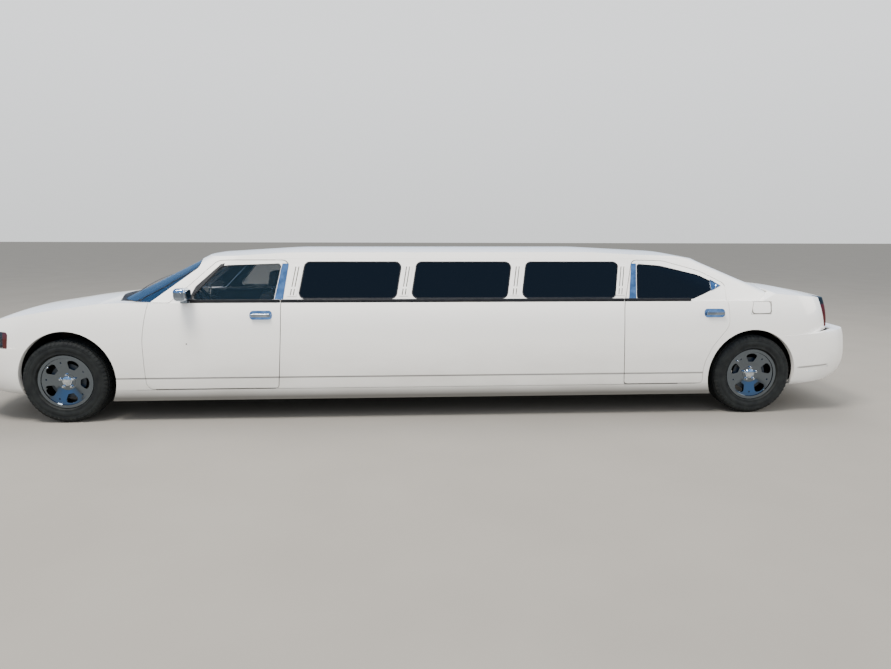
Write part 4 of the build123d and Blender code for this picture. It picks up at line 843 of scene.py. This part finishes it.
# The seats: two in front with headrests, one across the rear, and a bench along the left side.
# Pigmented leather, sewn in channels over moulded foam on steel frames, with soft grain and slight sheen.
# The grain is drawn at 4 mm, coarser than the real one, so that it shows close up.
hide = surface("pigmented_leather", {"Roughness": 0.55, "Sheen Weight": 0.1}, lambda m: {
    "Base Color": mottled(m, 120.0, "35322F", "46423E", 5.0),
    "Normal": grained(m, 4.0, 0.5, 0.5)})
PAD_SHRINK = 0.012
PAD_CAP = 0.014
# a pad's edges are rounded by this share of its least size
PAD_ROUND = 0.28
PAD_CREASE = 180.0
SEAM_HALF = 0.010
SEAM_DEPTH = 0.009
CLOTH_QUALITY = 4
CLOTH_PRESSURE = 4.0
CLOTH_FRAMES = 20


def pad(name, low, high, lean, voxel, seams, crown):
    """A padded block between two corners, leaned back by a slope, swollen as cloth, with sewn channels."""
    low, high = Vector(low), Vector(high)
    middle, size = (low + high) / 2, high - low - Vector((PAD_SHRINK, PAD_SHRINK, PAD_SHRINK)) * 2
    piece = begin("cube", name, middle, scale=size, size=1.0)
    bpy.ops.mesh.bevel(offset=min(size) * PAD_ROUND, segments=4, affect="EDGES")
    pick(piece, lambda v: v.co.z > middle.z, "verts")
    bpy.ops.transform.translate(value=(-lean * size.z, 0.0, 0.0))
    apply(piece, "REMESH", mode="VOXEL", voxel_size=voxel)
    swell(piece)
    activate(piece)
    bpy.ops.object.mode_set(mode="EDIT")
    for axis, step in seams:
        count = max(1, round(size[axis] / step))
        lines = [low[axis] + (high[axis] - low[axis]) * (i + 1) / (count + 1) for i in range(count)]
        pick(piece, lambda v: crown(v.normal) and any(abs(v.co[axis] - line) < SEAM_HALF for line in lines),
             "verts")
        bpy.ops.transform.shrink_fatten(value=-SEAM_DEPTH)
    apply(piece, "SMOOTH", factor=0.5, iterations=2)
    apply(piece, "SUBSURF", levels=1, render_levels=1)
    settle(piece, hide, "body", PAD_CREASE)
    return piece


def swell(piece):
    """Blow the pad up as cloth, keep every point near where it was, and leave no cloth on it."""
    before = [v.co.copy() for v in piece.data.vertices]
    cloth = piece.modifiers.new("cloth", "CLOTH")
    cloth.settings.quality = CLOTH_QUALITY
    cloth.settings.use_pressure = True
    cloth.settings.uniform_pressure_force = CLOTH_PRESSURE
    cloth.settings.effector_weights.gravity = 0.0
    cloth.point_cache.frame_start = 1
    cloth.point_cache.frame_end = CLOTH_FRAMES
    for number in range(1, CLOTH_FRAMES + 1):
        bpy.context.scene.frame_set(number)
    bpy.ops.object.modifier_apply(modifier="cloth")
    bpy.context.scene.frame_set(1)
    for v, place in zip(piece.data.vertices, before):
        step = v.co - place
        if step.length > PAD_CAP:
            v.co = place + step * (PAD_CAP / step.length)


UP = (lambda n: n.z > PARTLY)
FORWARD = (lambda n: n.x > PARTLY)
INWARD = (lambda n: n.y < -PARTLY)
# side, where the seat starts along Y
FRONT_SEATS = [("right", -0.650), ("left", 0.130)]
# name, lowest corner, highest corner, lean, voxel, seams as (axis, distance apart), the side that is sewn
PADS = []
for side, y in FRONT_SEATS:
    PADS += [
        ("front_cushion_" + side, (1.500, y, 0.400), (2.005, y + 0.520, 0.572), 0.0, 0.014,
         [(1, 0.16), (0, 0.30)], UP),
        ("front_back_" + side, (1.440, y + 0.01, 0.540), (1.575, y + 0.510, 1.118), 0.16, 0.014,
         [(1, 0.16), (2, 0.20)], FORWARD),
        ("headrest_" + side, (1.340, y + 0.135, 1.135), (1.440, y + 0.385, 1.300), 0.1, 0.012,
         [(2, 0.12)], FORWARD),
    ]
PADS += [
    ("rear_cushion", (-2.980, -0.460, 0.470), (-2.550, 0.460, 0.640), 0.0, 0.018, [(1, 0.22), (0, 0.25)], UP),
    ("rear_back", (-3.030, -0.455, 0.610), (-2.900, 0.455, 1.060), 0.2, 0.018, [(1, 0.22), (2, 0.2)],
     FORWARD),
    ("bench_cushion", (-1.580, 0.405, 0.380), (0.840, 0.800, 0.540), 0.0, 0.024, [(0, 0.28), (1, 0.25)], UP),
    ("bench_back", (-1.580, 0.690, 0.545), (0.840, 0.800, 0.955), 0.0, 0.024, [(0, 0.28)], INWARD),
]
pads = [pad(*row) for row in PADS]
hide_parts("seats")

# The frames under the seats.
# Grained plastic skirts over welded steel frames, bolted to the floor, with a shallow panel in each side.
SKIRT_TAPER = 0.94
SKIRT_MARGIN, SKIRT_STEP, SKIRT_RECESS = 0.004, 0.002, 0.003
SKIRT_ROUND = 0.003
# a side's normal has less than this of Z in it
UPRIGHT = 0.5
# name, lowest corner, highest corner
SKIRTS = [
    ("seat_base_right", (1.470, -0.620, 0.238), (1.960, -0.160, 0.395)),
    ("seat_base_left", (1.470, 0.160, 0.238), (1.960, 0.620, 0.395)),
    ("rear_seat_base", (-3.000, -0.450, 0.468), (-2.580, 0.450, 0.486)),
    ("bench_base", (-1.570, 0.430, 0.238), (0.830, 0.790, 0.376)),
]
for name, low, high in SKIRTS:
    low, high = Vector(low), Vector(high)
    skirt = begin("cube", name, (low + high) / 2, scale=high - low, size=1.0)
    pick(skirt, lambda face: face.normal.z < -MOSTLY)
    bpy.ops.transform.resize(value=(SKIRT_TAPER, SKIRT_TAPER, 1.0), center_override=(low + high) / 2)
    pick(skirt, lambda face: abs(face.normal.z) < UPRIGHT)
    bpy.ops.mesh.inset(thickness=SKIRT_MARGIN, use_individual=True)
    bpy.ops.mesh.inset(thickness=SKIRT_STEP, depth=-SKIRT_RECESS, use_individual=True)
    apply(skirt, "BEVEL", width=SKIRT_ROUND, segments=2)
    settle(skirt, grained_plastic, "body")

# The headrest posts.
# Chromed steel rods, two to each headrest, which slide into the seat back.
POST_RADIUS = 0.006
POST_SIDES = 16
POST_LENGTH = 0.09
POST_X, POST_Z = 1.400, 1.115
POST_TILT = -0.1
POST_CHAMFER = 0.001
# distance of each post from where the seat starts along Y
POST_OFFSETS = (0.200, 0.320)
posts = []
for _, y in FRONT_SEATS:
    for offset in POST_OFFSETS:
        posts.append(begin("cylinder", "post", (POST_X, y + offset, POST_Z), (0.0, POST_TILT, 0.0),
                           vertices=POST_SIDES, radius=POST_RADIUS, depth=POST_LENGTH))
        bpy.ops.mesh.bevel(offset=POST_CHAMFER, segments=2, affect="EDGES")
settle(join(posts, "headrest_posts"), chrome, "body")

# The wheels.
# Cast alloy under a chrome-plated cladding outside; the barrel and the brake disc inside stay dull grey.
# Each has a domed cap over its hub, five plated lug nuts and a valve.
CLAD_FROM = 0.846
CLAD_FADE = 0.003


def cladding(material):
    """Dull dark metal inside, and bright plating beyond one distance from the car's middle, whose dark grey
    is painted reflection of a dark ground.
    """
    place = node(material, "SeparateXYZ", None, {"Vector": node(material, "TexCoord").outputs["Object"]})
    out = node(material, "Math", None, {0: place.outputs["Y"]}, operation="ABSOLUTE").outputs["Value"]
    limits = {"From Min": CLAD_FROM - CLAD_FADE, "From Max": CLAD_FROM}
    share = node(material, "MapRange", limits, {"Value": out}).outputs["Result"]
    # the plating's dark grey is painted reflection of a dark ground
    colour = node(material, "ValToRGB", None, {"Fac": share}, [(0.0, "1E1F21"), (1.0, "6C747C")])
    roughness = node(material, "MapRange", {"To Min": 0.5, "To Max": 0.06}, {"Value": share})
    return {"Base Color": colour.outputs["Color"], "Roughness": roughness.outputs["Result"]}


wheel_finish = surface("chrome_clad_alloy", {"Metallic": 1.0}, cladding)
WHEELS = ("front_left", "front_right", "rear_left", "rear_right")
coat(wheel_finish, *["wheel_" + w for w in WHEELS])

AXLE_Z = 0.362
HUB_FACE = 0.862
CAP_SIDES, NUT_SIDES, VALVE_SIDES = 48, 18, 12
# radius, along Y from the hub's face
CAP_STEPS = [(0.043, -0.004), (0.043, 0.004), (0.040, 0.008), (0.032, 0.0105), (0.031, 0.0095),
             (0.030, 0.0115), (0.018, 0.0140), (0.006, 0.0148)]
NUT_STEPS = [(0.0125, -0.004), (0.0125, 0.003), (0.0105, 0.004), (0.0105, 0.015), (0.0085, 0.0195),
             (0.003, 0.0210)]
NUTS = 5
NUT_CIRCLE = 0.0575
NUT_TURN = 18.0
# radius, along Y from the valve's foot, which stands off the hub's face
VALVE_STEPS = [(0.006, -0.010), (0.006, 0.012), (0.0042, 0.014), (0.0042, 0.026), (0.0015, 0.0275)]
VALVE_CIRCLE = 0.186
VALVE_STAND = 0.018
VALVE_TURN = 42.0
axle_x = {}
for w in WHEELS:
    low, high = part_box("wheel_" + w)
    axle_x[w] = (low[0] + high[0]) / 2
hub_place = Vector((axle_x["front_left"], HUB_FACE, AXLE_Z))


def round_hub(circle, degrees, out):
    """A place round the left front hub, this far out from its face."""
    angle = math.radians(degrees)
    return hub_place + Vector((circle * math.cos(angle), out, circle * math.sin(angle)))


def to_wheel(w):
    """The move that takes a piece of the left front wheel to this wheel."""
    shift = Matrix.Translation((axle_x[w] - axle_x["front_left"], 0.0, 0.0))
    return (MIRROR if w.endswith("right") else Matrix()) @ shift


fittings = [turned("cap", hub_place, CAP_STEPS, CAP_SIDES, "Y")]
for i in range(NUTS):
    nut_place = round_hub(NUT_CIRCLE, NUT_TURN + 360.0 / NUTS * i, 0.0)
    fittings.append(turned("nut", nut_place, NUT_STEPS, NUT_SIDES, "Y"))
valve_place = round_hub(VALVE_CIRCLE, VALVE_TURN, VALVE_STAND)
fittings.append(turned("valve", valve_place, VALVE_STEPS, VALVE_SIDES, "Y"))
plated = surface("plated_steel", {"Metallic": 1.0}, lambda m: {
    "Base Color": mottled(m, 20.0, "B5BFC9", "DDE2E7"),
    "Roughness": uneven(m, 12.0, 0.06, 0.16)})
first = settle(join(fittings, "wheel_fittings_front_left"), plated, "wheel_front_left")
for w in WHEELS[1:]:
    again(first, "wheel_fittings_" + w, to_wheel(w), "wheel_" + w)

# The tyres.
# Moulded rubber on steel belts: ribs of tread blocks, lugs on the shoulders, a rim rib and moulded rings on
# the walls. Black where it is new, greyed and dusty on the tread and walls.
TYRE_SEGMENTS = 120
TYRE_MIDDLE = 0.800
TREAD_DEPTH = 0.0072
BLOCK_GAP = 0.0014
# radius, distance from the middle, going out from the centre of the tread to the bead
TYRE_HALF = [(0.3545, 0.0), (0.3545, 0.014), (0.3545, 0.021), (0.3545, 0.047), (0.3545, 0.054),
             (0.3535, 0.080), (0.3500, 0.0955), (0.3400, 0.1045), (0.3260, 0.1095), (0.3080, 0.1120),
             (0.3060, 0.1112), (0.3040, 0.1122), (0.2850, 0.1125), (0.2680, 0.1112), (0.2665, 0.1102),
             (0.2650, 0.1110), (0.2560, 0.1088), (0.2520, 0.1098), (0.2470, 0.1098), (0.2440, 0.1060),
             (0.2380, 0.0960), (0.2370, 0.0870), (0.2180, 0.0865)]
# bands of tread that rise into blocks, by distance from the middle, and the radius that they lie beyond
TREAD_BANDS = [(0.0, 0.014), (0.021, 0.047), (0.054, 0.080)]
TREAD_RADIUS = 0.345
# the shoulder's band of lugs, by radius, and how far they stand out
LUG_RADII = (0.327, 0.3532)
LUG_RISE = 0.003
TYRE_CREASE = 30.0
rubber = surface("moulded_rubber", {"Roughness": 0.72, "Specular IOR Level": 0.35}, lambda m: {
    "Base Color": mottled(m, 60.0, "101211", "1D201E", 6.0),
    "Normal": grained(m, 1.5, 0.15, 0.4)})
tyre_place = Vector((axle_x["front_left"], TYRE_MIDDLE, AXLE_Z))
tyre_steps = [(r, -y) for r, y in reversed(TYRE_HALF)] + TYRE_HALF[1:]
tyre_steps += [tyre_steps[0]]
tyre = turned("tyre_front_left_visible", tyre_place, tyre_steps, TYRE_SEGMENTS, "Y", closed=False)


def on_band(face):
    """Whether a face belongs to the tread, between its grooves."""
    place = face.calc_center_median() - tyre_place
    return math.hypot(place.x, place.z) > TREAD_RADIUS and any(a < abs(place.y) < b for a, b in TREAD_BANDS)


def on_lug(face):
    """Whether a face belongs to the shoulder, in every second segment round the tyre."""
    place = face.calc_center_median() - tyre_place
    turn = math.atan2(place.z, place.x) % math.tau
    second = int(turn / math.tau * TYRE_SEGMENTS) % 2 == 0
    return second and LUG_RADII[0] < math.hypot(place.x, place.z) < LUG_RADII[1]


pick(tyre, on_band)
bpy.ops.mesh.inset(thickness=BLOCK_GAP, depth=TREAD_DEPTH, use_individual=True)
pick(tyre, on_lug)
bpy.ops.mesh.inset(thickness=BLOCK_GAP, depth=LUG_RISE)
settle(tyre, rubber, "wheel_front_left", TYRE_CREASE)
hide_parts("tyre_front_left")
for w in WHEELS[1:]:
    other = again(tyre, "tyre_" + w + "_visible", to_wheel(w), "wheel_" + w)
    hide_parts("tyre_" + w)
